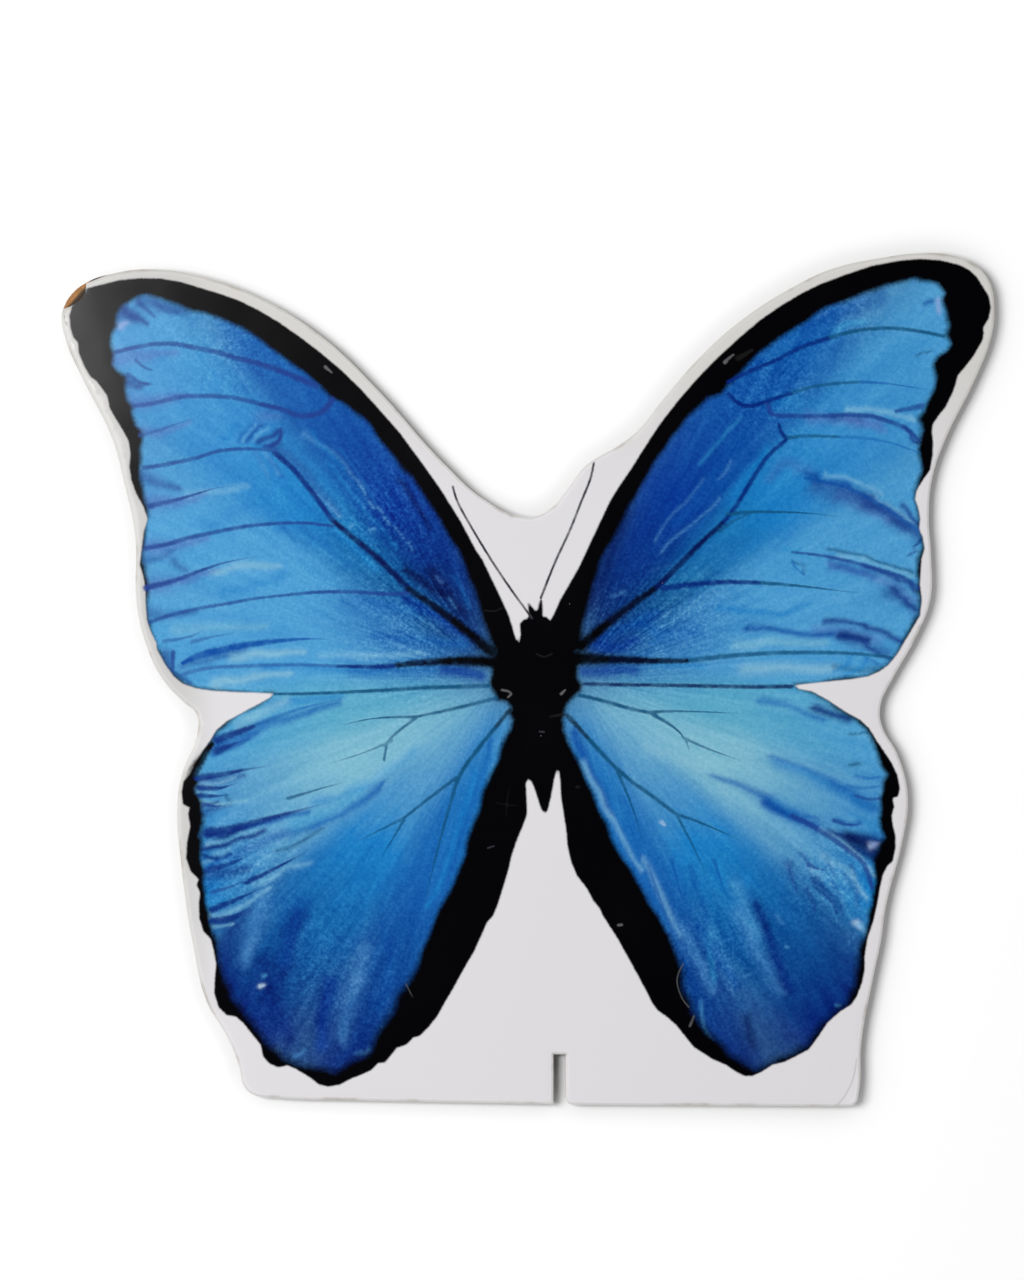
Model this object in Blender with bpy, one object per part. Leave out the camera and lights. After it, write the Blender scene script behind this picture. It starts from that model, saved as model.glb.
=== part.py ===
"""Printed butterfly cut-out panel: a laser-cut fibreboard panel with a printed film on its face.

The panel lies on its back. +Z is out of the printed face, +Y is the butterfly's head end and
+X is the right of somebody who looks at the picture. The origin is the middle of the
underside of its bounding box. The outline points below are in millimetres, because the board
is drawn and cut in millimetres; everything handed to Blender is in metres.
"""

import math

import bmesh
import bpy
from mathutils import Matrix, Vector

MM = 0.001

# Driving dimensions, in millimetres
BOARD_THICKNESS = 3.0
FILM_THICKNESS = 0.3
FILM_GAP = 0.2
SLOT_WIDTH = 3.05
SLOT_LEFT = 6.35
SLOT_CLOSED_END = -93.6
SLOT_MOUTH_LEFT = -106.1
SLOT_MOUTH_RIGHT = -106.2
SLOT_MOUTH_WEAR = 1.6
BOTTOM_EDGE_RIGHT_END = (78.2, -106.6)
BOTTOM_EDGE_LEFT_END = (-56.5, -104.9)
CURVE_STEPS = 5
WELD_DISTANCE = 0.00002

# The chip at the left wing's tip: two points of the broken line on the board's face, the
# slope of the broken surface below it, and the size of the block that stands for the loss
CHIP_START = (-115.6, 92.2)
CHIP_END = (-110.1, 98.4)
CHIP_SLOPE = math.radians(42)
CHIP_BLOCK_SIZE = (16.0, 6.0, 8.0)

# The outline, clockwise from the left wing's tip. The edge bends through a smooth point and
# breaks at a corner point, and between two corner points it is straight.
SMOOTH = "AUTO"
CORNER = "VECTOR"

LEFT_TIP = [
    (-116.6, 90.6), (-116.1, 93.6), (-114.1, 96.9), (-110.7, 99.4),
]
LEFT_TOP_EDGE = [
    (-103.5, 101.7), (-94.5, 102.7), (-82.0, 101.0), (-67.0, 95.5), (-52.0, 86.3),
    (-37.0, 72.0), (-22.0, 55.2), (-9.5, 44.2),
]
HEAD_NOTCH = [
    (0.2, 40.7), (5.6, 42.8), (10.0, 47.9), (14.1, 53.3), (18.0, 56.0), (23.0, 58.8),
    (28.2, 63.1),
]
RIGHT_TOP_EDGE = [
    (33.0, 69.2), (43.0, 80.7), (53.0, 89.7), (68.0, 99.2), (76.0, 102.8), (88.0, 105.5),
    (97.5, 106.7),
]
RIGHT_TIP = [
    (105.5, 106.3), (111.5, 104.0), (115.3, 99.8), (116.6, 93.0),
]
RIGHT_SIDE = [
    (115.9, 86.0), (111.7, 75.0), (104.3, 60.0), (101.0, 50.0), (100.2, 41.0),
    (100.8, 31.0), (100.6, 20.0), (97.3, 11.3), (91.0, 0.0), (88.2, -6.0), (88.4, -11.2),
    (92.5, -18.8), (95.0, -29.5), (93.7, -40.0), (89.5, -56.5), (88.3, -65.0),
    (86.2, -75.0), (83.3, -91.0), (82.7, -103.0),
]
LOWER_RIGHT_CORNER = [
    (81.6, -106.0),
]
LOWER_LEFT_CORNER = [
    (-63.0, -104.5), (-69.3, -103.4), (-71.3, -101.0),
]
LEFT_SIDE = [
    (-72.0, -97.5), (-75.0, -89.6), (-80.3, -80.5), (-83.5, -67.5), (-86.6, -47.0),
    (-87.6, -30.0), (-86.2, -22.5), (-82.8, -14.0), (-82.9, -8.4), (-86.0, -5.6),
    (-91.2, 0.0), (-95.0, 7.5), (-97.8, 18.8), (-98.2, 36.0), (-101.0, 49.5),
    (-104.0, 60.5), (-111.2, 75.0), (-115.4, 84.5),
]

# The film's own edge where the chip has taken it away with the board's arris
FILM_TORN_EDGE = [
    ((-116.6, 90.6), SMOOTH), ((-116.2, 92.8), CORNER), ((-114.5, 93.3), CORNER),
    ((-112.1, 94.9), SMOOTH), ((-110.8, 97.0), SMOOTH), ((-110.4, 99.2), CORNER),
]


def clear_scene():
    """Start from an empty file."""
    for obj in list(bpy.data.objects):
        bpy.data.objects.remove(obj, do_unlink=True)


def new_collection(name):
    """Make a collection in the scene."""
    collection = bpy.data.collections.new(name)
    bpy.context.scene.collection.children.link(collection)
    return collection


def new_material(name, colour, roughness, coat=0.0):
    """Make a Principled material."""
    material = bpy.data.materials.new(name)
    material.use_nodes = True
    shader = material.node_tree.nodes["Principled BSDF"]
    shader.inputs["Base Color"].default_value = (*colour, 1.0)
    shader.inputs["Roughness"].default_value = roughness
    shader.inputs["Metallic"].default_value = 0.0
    shader.inputs["Coat Weight"].default_value = coat
    material.diffuse_color = (*colour, 1.0)
    return material


def smooth(points):
    """Mark every point of a stretch as smooth."""
    return [(point, SMOOTH) for point in points]


def straight_bottom_edge():
    """The straight bottom edge from right to left, with the slot for the foot in it.

    The slot's right mouth corner is worn to a quarter circle, whose middle point lies at
    1 - cos(45 degrees) of its radius from both edges.
    """
    right = SLOT_LEFT + SLOT_WIDTH
    middle = SLOT_MOUTH_WEAR * (1.0 - math.cos(math.radians(45)))
    return [
        (BOTTOM_EDGE_RIGHT_END, CORNER),
        ((right + SLOT_MOUTH_WEAR, SLOT_MOUTH_RIGHT), CORNER),
        ((right + middle, SLOT_MOUTH_RIGHT + middle), SMOOTH),
        ((right, SLOT_MOUTH_RIGHT + SLOT_MOUTH_WEAR), CORNER),
        ((right, SLOT_CLOSED_END), CORNER),
        ((SLOT_LEFT, SLOT_CLOSED_END), CORNER),
        ((SLOT_LEFT, SLOT_MOUTH_LEFT), CORNER),
        (BOTTOM_EDGE_LEFT_END, CORNER),
    ]


def panel_outline(left_tip):
    """The whole outline, clockwise, with the given stretch at the left wing's tip."""
    outline = list(left_tip)
    for stretch in (LEFT_TOP_EDGE, HEAD_NOTCH, RIGHT_TOP_EDGE, RIGHT_TIP, RIGHT_SIDE,
                    LOWER_RIGHT_CORNER):
        outline += smooth(stretch)
    outline += straight_bottom_edge()
    outline += smooth(LOWER_LEFT_CORNER)
    outline += smooth(LEFT_SIDE)
    return outline


def cut_sheet(name, outline, thickness, underside, material, collection):
    """Make a flat sheet of one outline, as a filled 2D curve extruded to its thickness."""
    curve = bpy.data.curves.new(name, "CURVE")
    curve.dimensions = "2D"
    curve.fill_mode = "BOTH"
    curve.extrude = thickness * MM / 2
    curve.resolution_u = CURVE_STEPS
    spline = curve.splines.new("BEZIER")
    spline.bezier_points.add(len(outline) - 1)
    spline.use_cyclic_u = True
    for knot, ((x, y), handle) in zip(spline.bezier_points, outline):
        knot.co = (x * MM, y * MM, 0.0)
        knot.handle_left_type = handle
        knot.handle_right_type = handle
    curve.materials.append(material)
    sheet = bpy.data.objects.new(name, curve)
    sheet.location.z = (underside + thickness / 2) * MM
    collection.objects.link(sheet)
    return sheet


def curve_to_mesh(sheet, collection):
    """Replace a curve object by a welded mesh object, so that it can be cut."""
    bpy.context.view_layer.update()
    evaluated = sheet.evaluated_get(bpy.context.evaluated_depsgraph_get())
    mesh = bpy.data.meshes.new_from_object(evaluated)
    weld_doubles(mesh)
    name = sheet.name
    place = sheet.matrix_world.copy()
    bpy.data.objects.remove(sheet, do_unlink=True)
    solid = bpy.data.objects.new(name, mesh)
    solid.matrix_world = place
    collection.objects.link(solid)
    return solid


def weld_doubles(mesh):
    """Join the caps of a converted curve to its sides."""
    work = bmesh.new()
    work.from_mesh(mesh)
    bmesh.ops.remove_doubles(work, verts=work.verts, dist=WELD_DISTANCE)
    work.to_mesh(mesh)
    work.free()


def chip_block(collection):
    """Block that stands for the broken-off arris: its lower face is the broken slope."""
    start = Vector((*CHIP_START, BOARD_THICKNESS)) * MM
    end = Vector((*CHIP_END, BOARD_THICKNESS)) * MM
    along = (end - start).normalized()
    outward = Vector((-along.y, along.x, 0.0))
    turn = Matrix((along, outward, Vector((0.0, 0.0, 1.0)))).transposed().to_4x4()
    tilt = Matrix.Rotation(-CHIP_SLOPE, 4, "X")
    length, width, height = (size * MM for size in CHIP_BLOCK_SIZE)
    raise_to_face = Matrix.Translation((0.0, width / 2, height / 2))
    bpy.ops.mesh.primitive_cube_add(size=1.0)
    block = bpy.context.object
    block.name = "chip_cutter"
    block.data.transform(raise_to_face @ Matrix.Diagonal((length, width, height, 1.0)))
    block.matrix_world = Matrix.Translation((start + end) / 2) @ turn @ tilt
    block.hide_render = True
    block.display_type = "WIRE"
    for owner in list(block.users_collection):
        owner.objects.unlink(block)
    collection.objects.link(block)
    return block


def make_board(parts, cutters):
    """The fibreboard panel with its foot slot, chipped at the left wing's tip."""
    fibreboard = new_material("fibreboard", (0.30, 0.17, 0.075), 0.85)
    sheet = cut_sheet("board", panel_outline(smooth(LEFT_TIP)), BOARD_THICKNESS, 0.0,
                      fibreboard, parts)
    board = curve_to_mesh(sheet, parts)
    chip = board.modifiers.new("chip", "BOOLEAN")
    chip.operation = "DIFFERENCE"
    chip.object = chip_block(cutters)
    return board


def make_printed_film(parts):
    """The printed film on the board's face, torn away at the chip."""
    print_blue = new_material("printed_film", (0.05, 0.22, 0.52), 0.3, coat=0.5)
    underside = BOARD_THICKNESS + FILM_GAP
    return cut_sheet("printed_film", panel_outline(FILM_TORN_EDGE), FILM_THICKNESS, underside,
                     print_blue, parts)


def main():
    clear_scene()
    parts = new_collection("printed_butterfly_panel")
    cutters = new_collection("cutters")
    make_board(parts, cutters)
    make_printed_film(parts)
    bpy.context.view_layer.update()


main()
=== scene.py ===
"""Looks of the printed butterfly cut-out panel.

The panel is a laser-cut fibreboard with a printed film on its face. The board keeps its CAD
solid and gets a fibreboard finish with charred edges. The film is made anew as a fine sheet:
its picture, a blue butterfly on white, is drawn with outlines, veins and brush strokes whose
points are in millimetres on the panel's face, and is painted on the sheet's vertices.
"""

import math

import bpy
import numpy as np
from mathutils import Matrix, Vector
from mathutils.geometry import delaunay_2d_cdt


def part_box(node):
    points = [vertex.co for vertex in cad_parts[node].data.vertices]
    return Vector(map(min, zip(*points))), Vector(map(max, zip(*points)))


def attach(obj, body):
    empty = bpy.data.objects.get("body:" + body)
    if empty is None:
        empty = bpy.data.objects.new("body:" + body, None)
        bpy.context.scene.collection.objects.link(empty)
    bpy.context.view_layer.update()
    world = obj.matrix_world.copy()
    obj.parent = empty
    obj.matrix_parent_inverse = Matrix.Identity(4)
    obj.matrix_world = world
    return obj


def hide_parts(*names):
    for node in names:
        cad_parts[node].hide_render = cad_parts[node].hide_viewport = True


bl_info = {
    "name": "Printed butterfly panel",
    "version": (1, 0, 0),
    "blender": (4, 5, 0),
    "location": "View3D > Sidebar > Butterfly panel",
    "description": "Dresses a cut-out fibreboard panel with a printed butterfly film",
    "category": "Object",
}

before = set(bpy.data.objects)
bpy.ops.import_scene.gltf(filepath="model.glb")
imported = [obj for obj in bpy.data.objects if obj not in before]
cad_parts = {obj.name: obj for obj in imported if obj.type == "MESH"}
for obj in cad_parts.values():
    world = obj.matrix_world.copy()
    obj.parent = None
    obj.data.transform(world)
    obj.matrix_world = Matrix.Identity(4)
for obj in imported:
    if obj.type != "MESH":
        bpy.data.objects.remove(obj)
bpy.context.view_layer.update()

MM = 0.001
BOARD_LOW, BOARD_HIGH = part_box("board")
FILM_LOW, FILM_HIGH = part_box("printed_film")

# Colours of the print, 8 bits a channel
PALETTE = {
    "ink": (2, 2, 4),
    "night": (3, 11, 38),
    "soot": (26, 26, 26),
    "pencil": (52, 52, 60),
    "dust": (98, 98, 100),
    "midnight": (5, 20, 80),
    "navy": (5, 36, 116),
    "ultramarine": (5, 56, 146),
    "royal": (8, 74, 156),
    "indigo": (28, 60, 136),
    "dusk": (40, 84, 152),
    "slate": (64, 106, 172),
    "violet": (82, 116, 182),
    "cobalt": (24, 98, 172),
    "azure": (28, 126, 192),
    "cerulean": (50, 148, 200),
    "steel": (68, 130, 188),
    "sky": (78, 155, 205),
    "summer": (93, 166, 213),
    "baby": (109, 172, 214),
    "powder": (120, 179, 210),
    "aqua": (93, 168, 196),
    "foam": (126, 183, 203),
    "mist": (142, 189, 207),
    "teal": (16, 78, 118),
    "lilac": (146, 168, 212),
    "bright": (190, 215, 235),
}
# The picture's outline, clockwise from the left forewing's tip, in millimetres
LEFT_FOREWING_TOP = [
    (-110.6, 97.9), (-107.0, 98.8), (-102.0, 100.0), (-97.0, 100.5), (-92.0, 100.4), (-87.0, 99.6),
    (-82.0, 98.1), (-77.0, 96.6), (-72.0, 94.8), (-67.0, 92.3), (-62.0, 89.3), (-57.0, 85.8),
    (-52.0, 82.0), (-47.0, 77.8), (-42.0, 73.0), (-37.0, 67.5), (-32.0, 61.8), (-27.0, 55.0),
    (-22.0, 48.0), (-17.0, 40.0), (-13.0, 32.5), (-11.3, 30.0), (-9.5, 26.2), (-7.0, 21.0),
    (-4.7, 16.0), (-3.6, 12.3), (-3.0, 10.3),
]
HEAD = [
    (-2.2, 9.6), (-1.9, 11.6), (-2.1, 14.0), (-1.3, 15.0), (-0.2, 15.4), (0.2, 16.2), (-0.1, 19.2),
    (0.5, 19.0), (1.3, 18.0), (1.8, 17.3), (2.4, 17.6), (2.8, 19.6), (3.4, 20.6), (3.7, 18.8),
    (3.7, 15.9), (4.7, 15.8), (5.6, 14.9),
]
RIGHT_FOREWING_TOP = [
    (6.3, 16.2), (8.0, 20.0), (10.5, 24.3), (13.0, 28.8), (15.5, 34.2), (18.0, 39.5), (20.5, 44.8),
    (23.0, 48.8), (25.5, 52.4), (28.0, 56.4), (30.5, 60.3), (33.0, 64.1), (38.0, 70.5), (43.0, 76.2),
    (48.0, 81.2), (53.0, 85.8), (58.0, 90.0), (63.0, 93.5), (68.0, 96.5), (73.0, 99.0), (80.0, 101.6),
    (86.0, 103.6), (93.0, 104.9), (98.0, 105.3), (103.0, 105.0), (108.0, 103.8), (110.5, 102.4),
    (112.3, 100.7), (113.6, 98.6), (115.2, 96.0), (115.8, 93.0), (115.2, 90.4), (113.8, 88.0),
    (114.0, 86.8), (113.7, 85.0),
]
RIGHT_FOREWING_SIDE = [
    (111.3, 80.8), (108.8, 77.6), (107.5, 76.2), (106.9, 73.8), (106.0, 71.4), (104.5, 68.3),
    (102.6, 66.0), (101.2, 63.8), (101.0, 62.0), (101.3, 59.5), (101.2, 56.0), (100.5, 52.4),
    (98.8, 50.0), (97.2, 47.4), (96.8, 45.2), (97.6, 43.0), (98.1, 40.2), (97.8, 37.7), (98.7, 35.8),
    (99.2, 32.8), (98.4, 30.2), (98.2, 27.0), (98.0, 24.0), (98.5, 20.0), (98.0, 16.0), (96.2, 13.0),
    (94.3, 9.8), (92.3, 6.4), (90.2, 3.8), (88.0, 2.2), (85.0, 0.9), (81.0, 0.2), (76.0, -0.3),
    (71.0, -0.8), (66.8, -1.3),
]
RIGHT_HINDWING_SIDE = [
    (67.6, -2.2), (71.0, -2.8), (75.0, -5.0), (79.5, -8.0), (83.0, -9.9), (85.3, -12.0), (87.0, -14.8),
    (88.9, -17.6), (91.0, -20.8), (92.4, -23.8), (93.0, -27.2), (92.6, -29.1), (91.2, -29.6),
    (91.6, -31.8), (91.0, -33.8), (91.2, -36.0), (91.9, -39.0), (91.9, -42.2), (91.2, -45.4),
    (89.8, -46.6), (88.8, -48.6), (88.0, -52.0), (87.5, -55.2), (86.4, -60.2), (84.9, -64.6),
    (84.2, -69.0), (84.2, -72.5), (83.6, -75.6), (82.2, -79.2), (80.8, -81.2), (78.2, -82.8),
    (75.0, -85.6), (72.6, -89.2), (70.2, -92.4), (66.8, -94.2), (64.2, -95.5), (61.2, -96.2),
    (58.4, -98.0), (56.2, -99.0), (54.3, -99.1),
]
RIGHT_HINDWING_INNER = [
    (52.0, -98.0), (49.4, -96.2), (46.2, -94.9), (43.6, -93.2), (41.4, -91.8), (39.4, -89.3),
    (37.0, -86.3), (34.6, -84.2), (32.4, -82.6), (31.0, -80.8), (29.8, -78.3), (27.4, -73.8),
    (25.0, -69.4), (22.2, -64.4), (20.0, -61.0), (18.6, -58.8), (17.9, -57.1), (16.3, -55.2),
    (14.8, -52.3), (12.2, -48.9), (10.8, -45.6), (9.9, -41.8), (9.5, -37.4), (8.8, -33.0),
    (8.2, -29.0), (8.0, -25.0), (7.7, -22.8),
]
ABDOMEN = [
    (7.2, -22.6), (6.6, -24.6), (6.0, -28.2), (5.3, -31.2), (4.9, -32.7), (4.2, -33.3), (3.4, -32.6),
    (2.7, -30.6), (1.7, -27.4), (0.9, -25.5),
]
LEFT_HINDWING_INNER = [
    (0.1, -24.8), (-0.5, -25.8), (-0.3, -30.0), (-0.2, -33.6), (-1.2, -36.4), (-2.8, -40.2),
    (-4.0, -43.8), (-5.0, -48.0), (-6.4, -52.6), (-7.6, -56.4), (-8.7, -59.0), (-10.2, -60.6),
    (-11.6, -63.8), (-13.4, -67.8), (-16.2, -72.6), (-18.6, -77.0), (-20.6, -80.4), (-22.6, -84.0),
    (-24.8, -86.8), (-27.0, -89.0), (-28.6, -89.4), (-30.4, -91.2), (-32.8, -92.0), (-34.2, -93.8),
    (-35.8, -95.7), (-37.4, -95.8), (-39.2, -97.6), (-41.8, -98.8), (-44.0, -99.6), (-47.0, -101.2),
    (-50.0, -101.7),
]
LEFT_HINDWING_SIDE = [
    (-52.2, -101.2), (-54.4, -99.5), (-58.0, -97.3), (-60.2, -96.4), (-62.4, -96.9), (-64.6, -96.0),
    (-66.2, -94.2), (-66.9, -91.2), (-69.0, -88.6), (-71.2, -85.8), (-73.0, -84.2), (-75.4, -83.8),
    (-77.4, -81.8), (-78.5, -78.2), (-78.3, -74.2), (-78.0, -71.0), (-78.7, -67.2), (-79.4, -64.7),
    (-81.2, -62.8), (-82.2, -59.6), (-82.3, -55.6), (-82.0, -53.2), (-82.9, -51.3), (-82.4, -49.8),
    (-84.4, -47.8), (-85.5, -44.6), (-85.3, -40.8), (-84.5, -36.6), (-85.0, -33.4), (-84.6, -31.9),
    (-86.3, -31.2), (-86.6, -28.0), (-86.2, -25.4), (-84.6, -23.6), (-83.2, -20.8), (-81.2, -17.6),
    (-79.4, -15.0), (-78.0, -12.6), (-75.2, -10.2), (-71.0, -7.9), (-67.2, -5.9), (-64.4, -4.3),
]
LEFT_FOREWING_SIDE = [
    (-63.6, -3.4), (-68.0, -3.2), (-74.0, -3.0), (-79.0, -2.7), (-83.0, -2.1), (-86.4, -0.9),
    (-88.6, 0.9), (-90.8, 4.0), (-92.8, 7.7), (-92.9, 9.2), (-94.4, 12.2), (-95.3, 15.0), (-95.6, 19.0),
    (-95.7, 23.0), (-96.2, 26.0), (-97.1, 28.9), (-96.6, 33.0), (-96.1, 37.0), (-95.1, 40.2),
    (-96.2, 43.4), (-98.0, 46.6), (-99.2, 50.0), (-99.7, 53.4), (-99.4, 56.4), (-99.9, 59.8),
    (-101.4, 62.6), (-103.2, 65.4), (-104.6, 68.0), (-105.2, 71.0), (-106.6, 73.0), (-108.0, 74.8),
    (-109.4, 75.8), (-111.0, 78.5), (-112.4, 82.0), (-112.5, 84.3), (-113.7, 85.6), (-114.4, 88.0),
    (-114.7, 91.0), (-114.0, 93.6),
]

# The blue of the left wings, clockwise from the forewing's tip
LEFT_BLUE = [
    (-103.0, 91.6), (-101.4, 93.9), (-98.6, 95.3), (-95.0, 96.1), (-91.6, 95.4), (-89.4, 94.4),
    (-86.0, 93.2), (-82.0, 92.1), (-77.0, 90.4), (-72.0, 88.0), (-67.0, 84.8), (-62.0, 81.1),
    (-57.0, 77.5), (-52.0, 73.7), (-49.0, 70.3), (-46.6, 69.7), (-44.0, 67.9), (-39.5, 63.2),
    (-37.5, 60.5), (-32.0, 53.7), (-27.0, 47.3), (-22.0, 40.0), (-18.0, 33.0), (-15.2, 26.2),
    (-12.2, 19.6), (-10.6, 13.0), (-9.4, 9.2), (-8.4, 6.9), (-8.9, 5.6), (-9.6, 4.2), (-9.1, 1.2),
    (-9.6, -1.4), (-8.3, -3.4), (-8.0, -4.9), (-5.6, -5.2), (-4.5, -6.6), (-5.0, -8.2), (-4.0, -9.6),
    (-4.3, -11.6), (-5.8, -14.4), (-7.4, -18.4), (-9.2, -23.0), (-11.2, -27.6), (-12.8, -33.0),
    (-14.6, -38.6), (-16.2, -44.0), (-18.6, -50.0), (-21.4, -55.8), (-23.6, -60.2), (-25.4, -65.0),
    (-27.4, -70.4), (-29.4, -74.6), (-32.2, -78.6), (-33.6, -82.0), (-36.2, -86.0), (-38.4, -89.4),
    (-39.6, -92.2), (-42.0, -94.4), (-45.2, -96.0), (-48.4, -97.5), (-52.4, -97.2), (-57.0, -95.9),
    (-61.4, -94.0), (-64.6, -90.8), (-68.0, -86.4), (-71.4, -82.2), (-73.8, -78.8), (-75.6, -74.6),
    (-76.8, -70.6), (-77.4, -66.8), (-78.6, -63.0), (-79.4, -58.6), (-80.2, -54.2), (-81.0, -50.6),
    (-80.4, -47.6), (-81.5, -44.8), (-81.2, -42.0), (-81.8, -39.0), (-81.1, -34.0), (-81.4, -30.4),
    (-82.6, -27.8), (-83.3, -25.2), (-82.4, -22.4), (-80.7, -18.0), (-79.3, -15.2), (-77.6, -12.6),
    (-74.8, -10.3), (-70.8, -8.1), (-67.0, -6.1), (-64.0, -4.4), (-63.6, -3.4), (-68.0, -3.1),
    (-74.0, -2.9), (-79.0, -2.4), (-82.8, -1.8), (-86.2, -0.5), (-88.2, 1.1), (-90.4, 4.2),
    (-92.4, 7.8), (-92.5, 9.2), (-94.0, 12.3), (-94.8, 15.0), (-95.0, 19.0), (-95.1, 23.0),
    (-95.6, 26.0), (-96.4, 28.9), (-95.9, 33.0), (-95.4, 37.0), (-94.5, 40.2), (-94.7, 42.8),
    (-96.0, 46.0), (-96.4, 50.0), (-96.8, 54.0), (-96.9, 57.6), (-96.0, 61.0), (-96.6, 62.4),
    (-98.1, 63.8), (-98.9, 66.6), (-98.8, 68.6), (-100.2, 70.2), (-100.8, 72.6), (-100.4, 75.6),
    (-102.6, 77.4), (-103.9, 79.0), (-103.3, 81.6), (-104.0, 83.4), (-103.7, 86.0), (-102.9, 88.4),
]

# The blue of the right wings, clockwise from the forewing's tip
RIGHT_BLUE = [
    (96.3, 100.6), (99.0, 99.6), (102.3, 98.9), (104.2, 96.6), (103.6, 94.8), (104.8, 91.6),
    (105.3, 88.4), (104.6, 86.4), (105.6, 84.2), (104.6, 82.2), (102.4, 80.6), (101.3, 79.0),
    (102.2, 76.2), (101.6, 73.0), (100.4, 70.8), (99.4, 67.8), (97.6, 65.8), (98.5, 62.6), (97.8, 59.4),
    (98.0, 56.0), (98.3, 53.0), (97.4, 49.6), (96.5, 47.2), (96.3, 45.2), (97.1, 43.0), (97.5, 40.2),
    (97.3, 37.8), (98.1, 35.8), (98.6, 32.8), (97.8, 30.2), (97.6, 27.0), (97.4, 24.0), (97.9, 20.0),
    (97.5, 16.2), (95.8, 13.3), (93.8, 10.0), (91.9, 6.8), (89.8, 4.2), (87.6, 2.6), (84.8, 1.3),
    (81.0, 0.6), (76.0, 0.1), (71.0, -0.5), (66.8, -1.2), (67.6, -2.5), (71.0, -3.2), (75.0, -5.5),
    (79.2, -8.4), (82.4, -10.3), (84.4, -12.0), (85.8, -14.6), (87.2, -18.0), (88.6, -21.4),
    (89.5, -23.4), (88.6, -26.6), (87.8, -29.0), (87.7, -33.0), (88.0, -36.4), (88.8, -39.4),
    (87.4, -42.0), (85.9, -44.8), (86.3, -47.8), (86.8, -51.0), (86.0, -54.6), (85.2, -58.0),
    (84.4, -62.0), (83.4, -66.0), (82.2, -70.6), (81.6, -75.0), (80.3, -78.4), (78.0, -81.6),
    (74.6, -84.6), (71.6, -88.2), (69.4, -91.2), (66.8, -93.0), (62.4, -94.5), (59.4, -96.2),
    (56.6, -97.2), (53.6, -95.6), (50.6, -93.2), (47.4, -89.8), (44.0, -86.4), (41.4, -82.4),
    (39.2, -77.6), (38.8, -73.4), (37.2, -68.0), (35.0, -63.6), (32.0, -58.2), (29.0, -53.0),
    (25.6, -47.6), (22.8, -43.0), (20.4, -37.8), (17.8, -32.0), (15.2, -26.0), (12.8, -20.4),
    (10.4, -15.6), (8.9, -12.8), (8.9, -10.2), (9.4, -8.2), (10.0, -6.0), (11.6, -4.6), (13.2, -3.2),
    (13.6, -1.2), (12.3, 0.8), (12.6, 3.6), (14.2, 4.6), (12.8, 5.8), (12.1, 6.8), (14.4, 7.4),
    (13.6, 10.0), (13.8, 14.6), (16.2, 22.4), (18.0, 29.4), (21.8, 36.4), (26.4, 45.0), (31.2, 53.2),
    (36.2, 60.2), (40.5, 65.8), (45.0, 70.6), (48.6, 71.9), (50.6, 74.2), (53.0, 76.8), (58.0, 81.6),
    (63.0, 85.3), (68.0, 88.6), (74.6, 92.8), (78.6, 94.4), (83.0, 96.1), (89.2, 98.4), (93.0, 99.8),
]

# The wings' roots, from which the wash's rays and the grain of each side run out
LEFT_ROOT = (-7.0, 0.5)
RIGHT_ROOT = (11.5, 0.5)

# The wash, the same on both sides: rays from a wing's root to its margin, each with its
# bearing in degrees above the horizontal, its length, and its colours from root to margin
WASH = [
    (5, 90, ["royal", "sky", "sky"]),
    (25, 105, ["royal", "sky", "sky"]),
    (42, 130, ["midnight", "azure", "sky"]),
    (57, 100, ["midnight", "ultramarine", "cobalt"]),
    (-8, 80, ["aqua", "aqua", "sky"]),
    (-30, 90, ["foam", "foam", "azure"]),
    (-52, 105, ["foam", "azure", "navy"]),
    (-72, 105, ["azure", "cobalt", "navy"]),
]

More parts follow.
